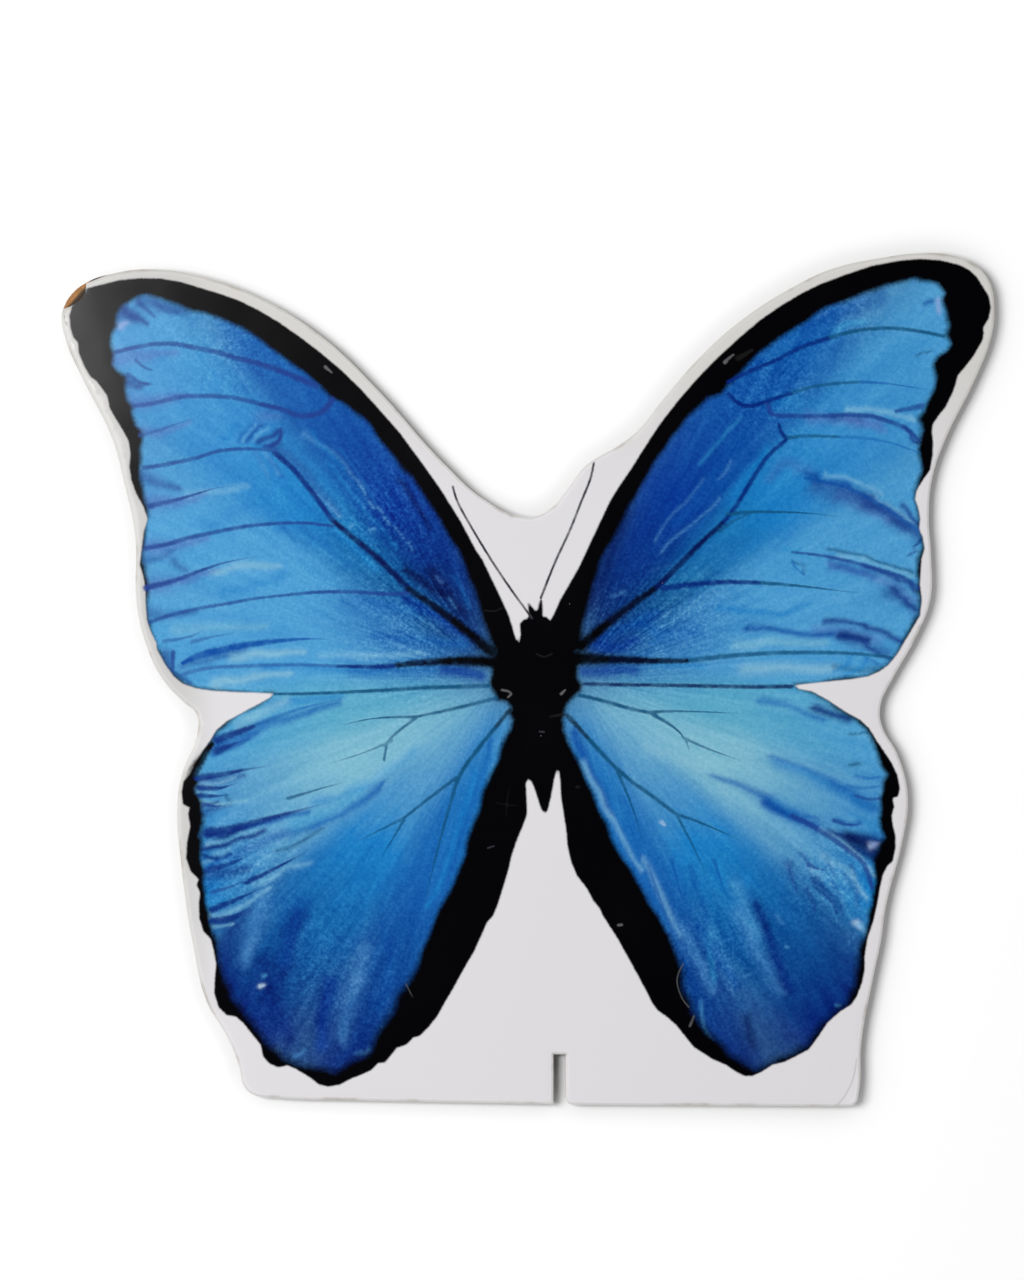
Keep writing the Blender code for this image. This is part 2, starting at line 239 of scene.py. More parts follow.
# Veins and other thin lines: colour, half width at the first and the last point, strength
# from 0 to 1, and the points
LEFT_FOREWING_LINES = [
    ("indigo", 0.45, 0.6, 0.8, [(-103, 82), (-98, 83.2), (-93, 84), (-88, 84), (-83, 83),
                                (-78, 82), (-73, 80.5)]),
    ("indigo", 0.6, 0.7, 0.95, [(-73, 80.5), (-67, 79), (-62, 77.3), (-57, 75.3), (-53, 73.5)]),
    ("indigo", 0.5, 0.5, 0.75, [(-98.5, 68.5), (-93, 69.3), (-87, 70.7), (-80, 71), (-73, 70.5),
                              (-67, 69)]),
    ("indigo", 0.5, 0.7, 0.95, [(-67, 69), (-62, 67.8), (-58, 66.3), (-55, 66), (-52, 66.8),
                                (-50, 68.5), (-49, 70)]),
    ("dusk", 0.5, 0.0, 0.7, [(-97, 61.2), (-92, 62.5), (-88, 64), (-83, 65.5)]),
    ("indigo", 0.5, 0.35, 0.8, [(-96, 53), (-90, 54), (-83, 55.5), (-77, 57.3), (-70, 57.8),
                                (-63, 57.3)]),
    ("navy", 0.6, 0.55, 0.95, [(-63.5, 57), (-59, 53), (-54, 47), (-49, 40)]),
    ("midnight", 0.6, 0.7, 1.0, [(-49, 40), (-43, 35), (-37, 30), (-30, 23)]),
    ("night", 0.7, 0.85, 1.0, [(-30, 23), (-24, 18.8), (-19, 15.2)]),
    ("ink", 0.85, 1.1, 1.0, [(-19, 15.2), (-14, 11), (-9, 7)]),
    ("indigo", 0.6, 0.0, 0.85, [(-94.5, 43.5), (-88, 45), (-83, 46.5), (-78, 48), (-74, 48.6)]),
    ("indigo", 0.55, 0.3, 0.85, [(-95.5, 33), (-90, 34), (-85, 35.5), (-78, 37), (-70, 38.5),
                                 (-62, 39.2), (-55, 39.2), (-49, 38.5)]),
    ("indigo", 0.7, 0.0, 0.9, [(-95.5, 23), (-88, 25), (-82, 27.3), (-76, 29.3), (-70, 30.5),
                               (-66, 31)]),
    ("indigo", 0.45, 0.3, 0.75, [(-94.5, 14.5), (-90, 16), (-85, 17.3), (-80, 18.3),
                                 (-74, 19.3), (-68, 20.4), (-60, 21.3)]),
    ("indigo", 0.35, 0.5, 0.85, [(-60, 21.3), (-52, 22), (-43, 22), (-35, 21.5), (-30, 21.8)]),
    ("dusk", 0.5, 0.0, 0.7, [(-91, 9.7), (-86, 10.5), (-81, 12.3)]),
    ("dusk", 0.5, 0.0, 0.6, [(-84, 9.5), (-78, 11), (-73, 11.8)]),
    ("royal", 0.4, 0.9, 1.0, [(-86.4, 4.2), (-83, 5.8), (-80, 6.7)]),
    ("royal", 0.9, 0.6, 1.0, [(-80, 6.7), (-77, 7.4), (-72, 8.5), (-66, 9.4)]),
    ("royal", 0.6, 0.0, 0.9, [(-66, 9.4), (-60, 10), (-55, 10.3), (-49, 10.2)]),
    ("indigo", 0.5, 0.4, 0.9, [(-88.7, 7), (-88.8, 4.6), (-88.9, 2.5)]),
    ("dusk", 0.45, 0.35, 0.7, [(-86, 1.5), (-80, 3), (-70, 3.5), (-60, 3.8), (-48, 3.5)]),
    ("navy", 0.35, 0.6, 0.95, [(-48, 3.5), (-38, 3.3), (-33, 3.7)]),
    ("night", 0.6, 0.85, 1.0, [(-33, 3.7), (-28, 4.2), (-22, 4.6)]),
    ("ink", 0.85, 1.2, 1.0, [(-22, 4.6), (-16, 4.8), (-9, 4.5)]),
    ("teal", 0.3, 0.5, 0.95, [(-63.3, -3.5), (-55, -3.4), (-45, -3), (-35, -2.5), (-25, -1.9),
                              (-15, -1.6), (-10, -1.4)]),
    ("indigo", 0.4, 0.35, 0.8, [(-66, 58.4), (-63.6, 58.6), (-62, 60.4), (-61.8, 62.8)]),
    ("indigo", 0.4, 0.25, 0.6, [(-98, 80), (-96, 78.2), (-94, 77.5)]),
    ("indigo", 0.5, 0.3, 0.7, [(-100, 76.5), (-97.5, 74.6), (-95, 74)]),
    ("cobalt", 0.3, 0.3, 0.5, [(-47, 58), (-42, 51), (-38, 44)]),
]
RIGHT_FOREWING_LINES = [
    ("navy", 0.4, 0.5, 0.9, [(50, 74.5), (55, 77), (62, 80), (68, 83), (75, 85.5)]),
    ("teal", 0.45, 0.4, 0.9, [(75, 85.5), (82, 87.3), (90, 88), (97, 87.3), (104, 86)]),
    ("navy", 0.5, 0.45, 0.95, [(50, 71.5), (53, 69), (56, 68.5), (60, 69.8), (66, 71.8)]),
    ("teal", 0.45, 0.3, 0.75, [(66, 71.8), (72, 73.5), (78, 74.2), (83, 74.5)]),
    ("royal", 0.35, 0.0, 0.6, [(83, 74.5), (89, 74.2), (96, 73.2), (102.4, 72.2)]),
    ("indigo", 0.5, 0.5, 0.85, [(60, 69), (61, 66.5), (66, 66), (74, 66), (80, 66.3),
                                (86, 66)]),
    ("indigo", 0.5, 0.5, 0.85, [(86, 66), (92, 64), (95, 62.5), (97.5, 60)]),
    ("indigo", 0.4, 0.7, 0.8, [(92, 67.2), (95, 67.8), (98.5, 68.5)]),
    ("navy", 0.35, 0.5, 0.9, [(62.7, 64), (63.3, 62), (64.5, 60.5)]),
    ("teal", 0.45, 0.3, 0.8, [(64.5, 60.5), (70, 61), (78, 60.8)]),
    ("cobalt", 0.4, 0.2, 0.6, [(78, 60.8), (85, 60.4), (91, 59.2), (98, 56.8)]),
    ("navy", 0.45, 0.55, 0.95, [(64.5, 60), (60, 56), (56, 50), (52, 43.5), (49, 39.5)]),
    ("midnight", 0.55, 0.7, 1.0, [(49, 39.5), (44, 35), (38, 29), (32, 23)]),
    ("night", 0.7, 0.85, 1.0, [(32, 23), (25, 18.2), (20.5, 14.6)]),
    ("ink", 0.85, 1.1, 1.0, [(20.5, 14.6), (17, 11.6), (13.5, 8.6)]),
    ("royal", 0.3, 0.5, 0.6, [(69, 50.5), (74, 49.5), (80, 48), (86, 45), (91, 42), (95, 39),
                              (97.5, 37.5)]),
    ("teal", 0.45, 0.0, 0.9, [(50, 41.5), (56, 42), (63, 42), (70, 41.7), (80, 40.6)]),
    ("teal", 0.4, 0.2, 0.6, [(48, 37), (51, 39.5), (55, 41.3)]),
    ("indigo", 0.3, 0.5, 0.8, [(66, 32), (74, 31), (81, 29.5), (88, 27.5), (94, 25.5),
                               (97.5, 23)]),
    ("navy", 0.7, 0.45, 0.95, [(34, 23), (42, 24), (50, 24.5), (58, 24.3)]),
    ("teal", 0.45, 0.0, 0.9, [(58, 24.3), (66, 23.7), (74, 22.8), (84, 21.6)]),
    ("cobalt", 0.3, 0.3, 0.6, [(66, 30), (67, 28), (69, 26.5)]),
    ("ink", 1.3, 0.9, 1.0, [(12, 5.6), (16, 5.4), (20, 5.2)]),
    ("night", 0.9, 0.55, 1.0, [(20, 5.2), (30, 4.8), (40, 4.8)]),
    ("teal", 0.55, 0.35, 0.85, [(40, 4.8), (50, 6), (60, 6.7), (70, 6.9), (80, 6.7), (88, 6),
                                (91, 5.5)]),
    ("midnight", 0.4, 0.45, 0.9, [(14, -1), (25, -1.2), (40, -1.4), (55, -1.7), (66, -1.6)]),
    ("cobalt", 0.35, 0.25, 0.6, [(30.5, 9), (32.5, 9.6), (33, 11), (31.5, 12)]),
]
LEFT_HINDWING_LINES = [
    ("ink", 0.5, 1.5, 1.0, [(-79, -16), (-81.3, -19.2), (-83.4, -22.8), (-84, -25.5)]),
    ("navy", 1.0, 0.0, 0.9, [(-77.6, -14.9), (-75, -14), (-71, -12.5), (-66, -10.5), (-60, -8.2)]),
    ("cobalt", 0.6, 0.0, 0.7, [(-68, -11.2), (-58, -7.5), (-50, -5.5), (-46, -4.6)]),
    ("navy", 0.9, 0.0, 0.85, [(-77.8, -17.7), (-75.5, -16.8), (-71, -15)]),
    ("navy", 0.9, 0.0, 0.9, [(-83, -24.6), (-76, -23.5), (-70, -22.3), (-64, -21.4)]),
    ("navy", 0.7, 0.0, 0.85, [(-82, -27), (-77, -27), (-72, -25.6)]),
    ("navy", 0.6, 0.0, 0.85, [(-82, -28.9), (-78, -29), (-74, -28.6)]),
    ("indigo", 0.5, 0.0, 0.8, [(-81, -31), (-78, -31.6), (-75, -31.2)]),
    ("navy", 1.1, 0.0, 0.9, [(-80, -38.1), (-74, -37.2), (-66, -35), (-58, -32.8), (-49, -30.4)]),
    ("navy", 0.8, 0.0, 0.85, [(-80, -47.6), (-74, -45.8), (-69, -43.4)]),
    ("navy", 0.6, 0.0, 0.9, [(-70.5, -50.6), (-65, -48), (-60, -45.4), (-54, -42.2)]),
    ("navy", 0.8, 0.0, 0.9, [(-79, -57.4), (-72, -54.5), (-65, -51.2)]),
    ("navy", 0.7, 0.0, 0.8, [(-79, -60.2), (-73, -58.8), (-68, -56)]),
    ("indigo", 0.5, 0.0, 0.7, [(-79, -53), (-74, -51.6), (-70, -49.4)]),
    ("teal", 0.3, 0.45, 0.9, [(-28, -9.2), (-20, -7.5), (-13, -5.8), (-8, -4.5)]),
    ("teal", 0.3, 0.3, 0.8, [(-28, -9.5), (-32, -12.5), (-35, -15.5), (-36, -20)]),
    ("teal", 0.3, 0.0, 0.6, [(-34, -15.3), (-42, -18.5), (-50, -21)]),
    ("teal", 0.35, 0.0, 0.9, [(-28, -9.2), (-36, -9.4), (-41, -10), (-48, -11.6)]),
    ("teal", 0.4, 0.0, 0.8, [(-60, -29.6), (-58, -29), (-52, -27.2), (-45, -25.3)]),
    ("ink", 0.5, 0.4, 0.8, [(-4.6, -7.5), (-6.5, -9.8), (-8, -11.7)]),
    ("teal", 0.45, 0.45, 1.0, [(-8, -11.7), (-12, -16.6), (-16, -22), (-18, -26)]),
    ("teal", 0.45, 0.0, 0.9, [(-18, -26), (-20, -33), (-22, -40), (-24, -48), (-26.4, -58)]),
    ("teal", 0.4, 0.3, 0.85, [(-18, -24.5), (-24, -29), (-31, -34.5)]),
    ("teal", 0.35, 0.0, 0.7, [(-31, -34.5), (-36, -37), (-44, -41)]),
    ("teal", 0.35, 0.0, 0.8, [(-31, -35), (-34, -40), (-37, -45)]),
]
RIGHT_HINDWING_LINES = [
    ("teal", 0.45, 0.4, 0.95, [(12.8, -3.8), (18, -5), (25, -7), (31, -8.3)]),
    ("teal", 0.35, 0.0, 0.9, [(31, -8), (37, -7.8), (45, -8), (54, -8.4)]),
    ("teal", 0.45, 0.0, 0.9, [(31, -8.5), (36, -11.5), (39, -14.5), (41, -19.4)]),
    ("teal", 0.35, 0.0, 0.7, [(39, -14.5), (45, -17.2), (55, -20.8)]),
    ("ink", 0.55, 0.45, 0.85, [(10, -9), (12.6, -11.9), (15, -14.5)]),
    ("teal", 0.5, 0.4, 1.0, [(15, -14.5), (20, -20), (26, -25.5)]),
    ("teal", 0.45, 0.4, 0.9, [(26, -25.5), (31, -29), (37, -33.5)]),
    ("teal", 0.4, 0.0, 0.9, [(37, -33.5), (44, -36), (55, -41)]),
    ("teal", 0.4, 0.0, 0.9, [(22, -22), (25, -29), (27, -34.5), (29, -41)]),
    ("teal", 0.35, 0.0, 0.85, [(37, -33.5), (41, -41), (45, -49.6)]),
    ("indigo", 0.6, 0.5, 0.8, [(66, -34), (72, -37), (78, -41), (84, -46), (86, -52)]),
    ("cobalt", 0.4, 0.3, 0.6, [(82, -24), (85, -24.6), (88, -24.2)]),
    ("cobalt", 0.4, 0.3, 0.6, [(80, -26.5), (84, -27), (88, -26.6)]),
    ("indigo", 0.4, 0.3, 0.6, [(82, -29), (85, -29.8), (88, -29.6)]),
    ("indigo", 0.5, 0.0, 0.7, [(70, -46), (72.5, -47.2), (75.6, -47.6)]),
    ("indigo", 0.5, 0.0, 0.7, [(76.6, -35.2), (80, -36.2), (84.4, -36)]),
    ("royal", 0.5, 0.0, 0.6, [(46.5, -45), (48, -49.5), (50, -55)]),
    ("royal", 0.4, 0.0, 0.6, [(36, -45), (37.5, -51), (40, -59)]),
    ("royal", 0.4, 0.0, 0.6, [(30, -46), (32, -52), (35, -60)]),
]
FINE_LINES = [
    # antennae
    ("pencil", 0.26, 0.26, 1.0, [(-18.8, 48.3), (-17.5, 44.3), (-14.5, 38.8), (-9.5, 30.5),
                                 (-4.5, 23), (-0.3, 17.2), (1, 15.4)]),
    ("pencil", 0.26, 0.28, 1.0, [(16.5, 54.3), (15.5, 50), (13, 43.8), (10.5, 37.5),
                                 (6.8, 29.5), (3.2, 20.5)]),
    # painted shade along the fold of the lifted corner, and wear at the left tip
    ("dust", 0.2, 0.15, 0.25, [(77.5, -106), (79, -104.3), (80.3, -102), (81.2, -100), (82, -96),
                              (82.4, -91)]),
    ("dust", 0.2, 0.15, 0.5, [(-115.9, 91), (-115.7, 89.9), (-115.3, 88.7)]),
    # hairs and scratches on the black
    ("dust", 0.25, 0.2, 0.8, [(-6.5, -2.5), (-5, -2.8), (-4.2, -3.5), (-5, -4.3)]),
    ("dust", 0.3, 0.2, 0.9, [(8.3, -3.5), (9.3, -2.5)]),
    ("soot", 0.2, 0.3, 0.9, [(5.5, -9.2), (9, -8.5)]),
    ("pencil", 0.2, 0.2, 0.9, [(2.9, -12.9), (4, -13)]),
    ("soot", 0.15, 0.0, 0.4, [(-8, -30.7), (-4.5, -31.3), (-1.5, -31.5)]),
    ("soot", 0.15, 0.0, 0.4, [(-5.5, -34), (-5.2, -30), (-4.5, -26)]),
    ("soot", 0.15, 0.2, 0.9, [(2, 6.6), (4, 5.8), (6, 6.6)]),
    ("soot", 0.15, 0.15, 0.9, [(-11, 17.4), (-8.5, 17.2), (-6.5, 18)]),
    ("dust", 0.2, 0.0, 0.5, [(-30.5, -76), (-29.6, -77.8), (-28.7, -79.5)]),
    ("pencil", 0.2, 0.15, 0.9, [(-10, -42), (-8.5, -41.5)]),
    ("dust", 0.15, 0.15, 0.5, [(38.8, -71), (37.6, -73.4), (37.3, -76), (38.5, -79.5),
                              (40.2, -81.8)]),
    ("dust", 0.2, 0.3, 0.6, [(41.5, -84), (40.5, -86.5)]),
    ("dust", 0.3, 0.3, 0.8, [(22.6, -61.3), (23.4, -61.2)]),
    ("soot", 0.3, 0.3, 0.9, [(12.2, -26.7), (12.8, -26.8)]),
    ("dust", 0.35, 0.2, 0.9, [(-50.7, 78.3), (-49.1, 76.9)]),
    ("dust", 0.4, 0.2, 0.9, [(49.2, 79.4), (50.3, 80.5), (51.4, 81.4)]),
    ("soot", 0.6, 0.3, 0.8, [(52.5, 80.4), (54.2, 81.4), (56, 82.5)]),
]

# Soft strokes laid over the wash in this order: colour, width at the first and the last
# point, strength from 0 to 1, and the points
GLAZE = [
    # left forewing
    ("indigo", 2.2, 1.8, 0.6, [(-103, 92), (-99, 90.6)]),
    ("indigo", 2.0, 1.4, 0.55, [(-96, 95), (-91, 93.6), (-86, 92.6)]),
    ("indigo", 1.6, 0.6, 0.8, [(-101.5, 93.3), (-98, 90.5), (-95.5, 89)]),
    ("indigo", 1.2, 0.5, 0.7, [(-97.5, 94.5), (-95.5, 92.2), (-93.5, 91)]),
    ("dusk", 1.0, 0.6, 0.6, [(-93.5, 94.8), (-90.5, 92.6), (-88, 92)]),
    ("lilac", 1.2, 0.8, 0.8, [(-102, 88.6), (-101, 89.2)]),
    ("violet", 2.4, 1.0, 0.6, [(-103.5, 80), (-97, 81), (-88, 82)]),
    ("indigo", 1.5, 0.4, 0.7, [(-100.5, 74.5), (-97.5, 73.5), (-95, 74.5)]),
    ("violet", 2.0, 0.8, 0.6, [(-100, 70), (-93, 70.2), (-84, 71.5)]),
    ("violet", 1.8, 0.6, 0.6, [(-98, 62), (-92, 62.4), (-85, 64.5)]),
    ("dusk", 2.4, 0.6, 0.7, [(-96, 50.5), (-92, 49), (-87, 48)]),
    ("violet", 2.4, 0.8, 0.7, [(-95, 44), (-88, 44.5), (-80, 46.5)]),
    ("violet", 2.4, 0.8, 0.7, [(-96, 33), (-89, 33), (-80, 35.5)]),
    ("dusk", 1.2, 0.4, 0.5, [(-96, 29.5), (-92, 30.5), (-88, 32)]),
    ("violet", 2.2, 0.8, 0.7, [(-96, 23.5), (-88, 24.5), (-78, 27.5)]),
    ("dusk", 1.6, 0.6, 0.6, [(-95.3, 17), (-90, 16.2), (-83, 17.2)]),
    ("indigo", 1.4, 0.6, 0.7, [(-91, 6.5), (-88.5, 2), (-85, -0.6)]),
    ("dusk", 1.4, 0.8, 0.6, [(-86, 3.5), (-78, 6), (-70, 8)]),
    ("dusk", 1.8, 1.2, 0.6, [(-63, 58.5), (-57.5, 54), (-52, 47.5), (-47.5, 41)]),
    ("summer", 0.8, 0.5, 0.35, [(-56, 61), (-48, 56), (-41, 48)]),
    ("azure", 0.7, 0.4, 0.4, [(-50, 54), (-42, 44.5), (-34, 34)]),
    ("azure", 0.6, 0.4, 0.35, [(-52, 58), (-46, 52), (-40, 44.5)]),
    ("mist", 1.2, 0.8, 0.5, [(-78, 27), (-70, 28.5), (-62, 28)]),
    ("foam", 1.6, 1.0, 0.4, [(-88, 12.5), (-78, 13), (-66, 13.5)]),
    ("cobalt", 1.6, 2.4, 0.55, [(-46, 20), (-37, 18.8), (-28, 17)]),
    ("ultramarine", 1.4, 1.8, 0.7, [(-30, 20), (-22, 15.5), (-14, 10.5)]),
    ("cobalt", 1.0, 1.4, 0.6, [(-38, 11), (-26, 10), (-16, 9)]),
    ("mist", 1.2, 0.7, 0.6, [(-74, 5.6), (-66, 6.6), (-56, 7.2)]),
    ("mist", 1.4, 0.8, 0.6, [(-78, -1), (-70, 0.6), (-60, 1.6)]),
    ("powder", 0.9, 0.6, 0.5, [(-52, 6.5), (-40, 6.2), (-26, 6.4)]),
    ("azure", 0.5, 0.4, 0.5, [(-82.6, 82.4), (-81.8, 80.6), (-80.8, 79.4)]),
    ("azure", 0.4, 0.4, 0.5, [(-79.2, 77.6), (-78.2, 75.4), (-77.4, 73.2)]),
    ("cobalt", 0.35, 0.35, 0.45, [(-81.6, 76.6), (-81.8, 75.2)]),
    ("cobalt", 0.35, 0.35, 0.45, [(-76.2, 77), (-76.4, 75.4)]),
    ("cobalt", 0.4, 0.4, 0.4, [(-73.6, 74), (-72.8, 71.8)]),
    ("cobalt", 0.4, 0.4, 0.4, [(-71.2, 73.2), (-70.2, 71.6)]),
    ("azure", 1.1, 0.7, 0.55, [(-75.6, 60.4), (-74.2, 62.4), (-73, 64)]),
    ("cobalt", 0.7, 0.5, 0.6, [(-72.2, 60), (-71.4, 62), (-69.4, 63.8)]),
    ("baby", 0.5, 0.4, 0.5, [(-71, 60), (-70, 62), (-68.4, 63.4)]),
    ("royal", 0.75, 0.5, 0.8, [(-70, 59.8), (-68.8, 61.8), (-67, 63.4)]),
    ("baby", 0.6, 0.4, 0.55, [(-68.2, 59.6), (-67, 61.6), (-65.4, 62.8)]),
    ("indigo", 0.75, 0.5, 0.85, [(-67, 59.2), (-65, 60.8), (-62.4, 62.6)]),
    ("steel", 0.5, 0.4, 0.5, [(-65.6, 58.8), (-63.8, 60.2)]),
    ("indigo", 0.7, 0.5, 0.8, [(-64.4, 58.2), (-62.8, 60), (-61.8, 62.6)]),
    ("violet", 1.8, 1.2, 0.4, [(-67, 65.4), (-63, 66)]),
    ("steel", 0.7, 0.5, 0.5, [(-67.6, 56.4), (-65.6, 53), (-64, 50)]),
    ("baby", 0.45, 0.3, 0.4, [(-65.6, 56.6), (-63.4, 53.6), (-62.4, 51)]),
    ("cobalt", 0.6, 0.5, 0.6, [(-64.4, 55), (-62.6, 52.8), (-61.6, 50.6)]),
    ("powder", 1.2, 0.8, 0.45, [(-86, 46.4), (-78, 47.2), (-70, 48.4)]),
    ("azure", 2.4, 1.8, 0.4, [(-80, 38.6), (-73, 42), (-66, 45)]),
    ("azure", 1.6, 1.2, 0.45, [(-76, 22), (-68, 23.6), (-61, 26)]),
    ("dusk", 1.0, 0.7, 0.6, [(-89, 29.6), (-87, 28.2), (-85.6, 27.4)]),
    ("cobalt", 0.5, 0.4, 0.5, [(-61.4, 38.6), (-59.6, 36), (-58.4, 34.4)]),
    ("cobalt", 0.9, 0.6, 0.5, [(-56.6, 38.4), (-53.6, 36), (-50.6, 34)]),
    ("azure", 1.2, 0.8, 0.5, [(-47, 37), (-43, 33), (-38, 28)]),
    ("azure", 1.0, 0.7, 0.5, [(-66, 3.4), (-58, 3.6), (-48, 2.6), (-36, 2)]),
    ("cobalt", 1.4, 1.8, 0.5, [(-44, 1.6), (-34, 2), (-24, 2.4)]),
    ("ultramarine", 1.6, 1.6, 0.8, [(-21, 2.2), (-16, 2), (-12, 0.8)]),
    ("midnight", 0.9, 0.8, 0.6, [(-32, 50), (-28.5, 44.5), (-25, 39)]),
    ("midnight", 1.0, 1.2, 0.8, [(-31, 28), (-26, 24.4), (-21, 21)]),
    ("midnight", 2.2, 1.6, 0.75, [(-23.5, 26.6), (-20.6, 22.6), (-16.6, 17)]),
    ("cobalt", 0.7, 0.5, 0.45, [(-18, 26), (-16, 22), (-14.6, 18)]),
    ("slate", 0.4, 0.3, 0.6, [(-22.7, 26), (-21.6, 24.6)]),
    ("steel", 0.4, 0.3, 0.5, [(-20, 20.2), (-18.2, 18)]),
    ("dusk", 0.4, 0.3, 0.5, [(-18.4, 32.4), (-17, 29.6)]),
    ("cobalt", 0.5, 0.4, 0.6, [(-30, 24), (-25.4, 20.4), (-20, 17)]),
    ("steel", 0.5, 0.35, 0.6, [(-53, 47), (-49.6, 43.2), (-47.2, 40.4)]),
    ("summer", 0.35, 0.3, 0.5, [(-42, 49), (-40.4, 46.8)]),
    ("summer", 0.35, 0.3, 0.5, [(-39.6, 45.2), (-38, 43)]),
    ("summer", 0.3, 0.3, 0.5, [(-37.4, 43.6), (-36.4, 42.2)]),
    ("summer", 0.3, 0.25, 0.45, [(-36, 41), (-34.4, 38.6)]),
    ("steel", 0.3, 0.25, 0.5, [(-33, 38), (-31.2, 35.5)]),
    ("steel", 0.35, 0.3, 0.65, [(-30, 34.6), (-28.7, 32.5)]),
    ("summer", 0.35, 0.3, 0.5, [(-38.6, 38.4), (-39, 36.8)]),
    ("summer", 0.3, 0.3, 0.5, [(-43.7, 39), (-44.2, 38)]),
    ("azure", 0.5, 0.4, 0.5, [(-33, 34), (-32.6, 32.4)]),
    ("azure", 0.7, 0.5, 0.4, [(-54, 62), (-50, 57), (-46, 53)]),
    ("ink", 0.6, 1.7, 0.9, [(-24, 4.6), (-16, 4.7), (-9, 4.6)]),
    ("ink", 0.4, 1.5, 0.9, [(-25, 20), (-18, 14.4), (-10, 7.6)]),
    # left hindwing
    ("azure", 1.6, 0.8, 0.6, [(-64, -6.5), (-55, -5), (-46, -3.8)]),
    ("mist", 1.4, 1.0, 0.45, [(-72, -11.4), (-66, -7.8), (-60, -5.2)]),
    ("royal", 1.2, 0.6, 0.6, [(-79.5, -17), (-74, -15.2), (-68, -13)]),
    ("indigo", 1.5, 0.6, 0.6, [(-82, -26), (-77, -25.3), (-71, -24)]),
    ("indigo", 1.2, 0.4, 0.6, [(-80.8, -33), (-77, -31.5), (-74, -31)]),
    ("foam", 0.8, 0.4, 0.6, [(-82, -30.5), (-76, -30.6), (-70, -30)]),
    ("indigo", 2.4, 1.0, 0.6, [(-80, -49), (-75, -48), (-70, -47)]),
    ("powder", 0.9, 0.5, 0.7, [(-79.5, -59.2), (-76, -58.6), (-71, -56.2), (-65, -52.8)]),
    ("powder", 1.2, 0.6, 0.5, [(-66, -50.5), (-60, -47), (-54, -45.5)]),
    ("sky", 0.8, 1.2, 0.4, [(-45, -27), (-37, -24), (-28, -17.5)]),
    ("azure", 1.0, 0.8, 0.5, [(-54, -31), (-46, -28.5), (-38, -26.2)]),
    ("navy", 2.2, 1.4, 0.7, [(-58, -59), (-60, -67), (-62, -75)]),
    ("navy", 2.4, 2.0, 0.6, [(-66, -71), (-64, -80), (-60, -90)]),
    ("navy", 1.4, 1.2, 0.55, [(-50.5, -75), (-51.5, -80), (-52.5, -86)]),
    ("navy", 2.0, 1.4, 0.6, [(-73.5, -62), (-76, -69), (-74, -77)]),
    ("royal", 1.4, 1.0, 0.4, [(-36, -62), (-34, -72), (-37, -82)]),
    ("cobalt", 0.9, 0.6, 0.5, [(-22, -34), (-24, -46), (-27, -58)]),
    ("azure", 0.9, 0.7, 0.6, [(-13, -23), (-16, -33), (-20, -45), (-25, -57)]),
    ("cobalt", 0.8, 0.6, 0.6, [(-9, -15), (-11.5, -23), (-14, -32), (-17, -41)]),
    ("sky", 0.6, 0.5, 0.5, [(-5.5, -11), (-8, -18), (-10, -25)]),
    ("bright", 0.5, 0.4, 0.8, [(-67.4, -76.5), (-66.4, -76.4)]),
    ("sky", 0.4, 0.3, 0.8, [(-66.2, -74), (-65.6, -73.8)]),
    ("steel", 0.5, 0.3, 0.6, [(-59, -94.3), (-57.5, -93.9), (-56, -93)]),
    ("steel", 0.6, 0.4, 0.5, [(-43, -94), (-41, -93.4), (-39.5, -92)]),
    ("cobalt", 1.6, 1.0, 0.7, [(-78, -15.8), (-70, -13), (-62, -10.2), (-54, -7.6),
                               (-47, -5.6)]),
    ("steel", 0.5, 0.4, 0.5, [(-78.6, -17), (-75.5, -15.6), (-72.6, -14.6)]),
    ("royal", 0.8, 0.5, 0.7, [(-79, -18.6), (-75, -16.8), (-70, -14.4)]),
    ("powder", 0.5, 0.35, 0.6, [(-82.4, -25.8), (-78, -25.8), (-73.4, -24.6)]),
    ("powder", 0.45, 0.3, 0.6, [(-82.2, -27.8), (-78.6, -28.2), (-77, -28.4)]),
    ("navy", 0.4, 0.4, 0.7, [(-81, -31.4), (-78.8, -30.8), (-76.6, -30)]),
    ("teal", 0.5, 0.4, 0.6, [(-75, -28.4), (-73.8, -29.8)]),
    ("navy", 1.6, 0.7, 0.9, [(-80.6, -39), (-75.6, -38.4), (-70, -36.6)]),
    ("royal", 0.7, 0.6, 0.9, [(-70, -36.4), (-62, -34.6), (-55, -32.8)]),
    ("powder", 0.5, 0.4, 0.7, [(-80, -41.1), (-74, -39.4), (-68, -37.4)]),
    ("navy", 0.7, 0.6, 0.9, [(-81, -42.2), (-76, -41), (-70, -39.2), (-66, -37.6)]),
    ("powder", 0.6, 0.5, 0.7, [(-78, -43.2), (-74.6, -42)]),
    ("navy", 0.7, 0.5, 0.8, [(-80.6, -43.8), (-77.6, -44.2), (-74.6, -43.2)]),
    ("powder", 0.5, 0.4, 0.7, [(-80.8, -45.4), (-78.4, -44.9)]),
    ("royal", 1.4, 1.2, 0.6, [(-78, -46), (-71, -42.4), (-63, -39), (-55, -37)]),
    ("steel", 0.35, 0.3, 0.6, [(-80, -49), (-77.6, -46.6), (-75, -44.4)]),
    ("cobalt", 1.1, 0.9, 0.8, [(-53.6, -36.8), (-47, -33.4), (-40.6, -29.6),
                               (-36.6, -26.4)]),
    ("cerulean", 2.4, 1.6, 0.5, [(-58, -36), (-50, -32.6), (-42, -28)]),
    ("teal", 0.45, 0.4, 0.6, [(-63.4, -43), (-57.6, -40.8), (-51, -37)]),
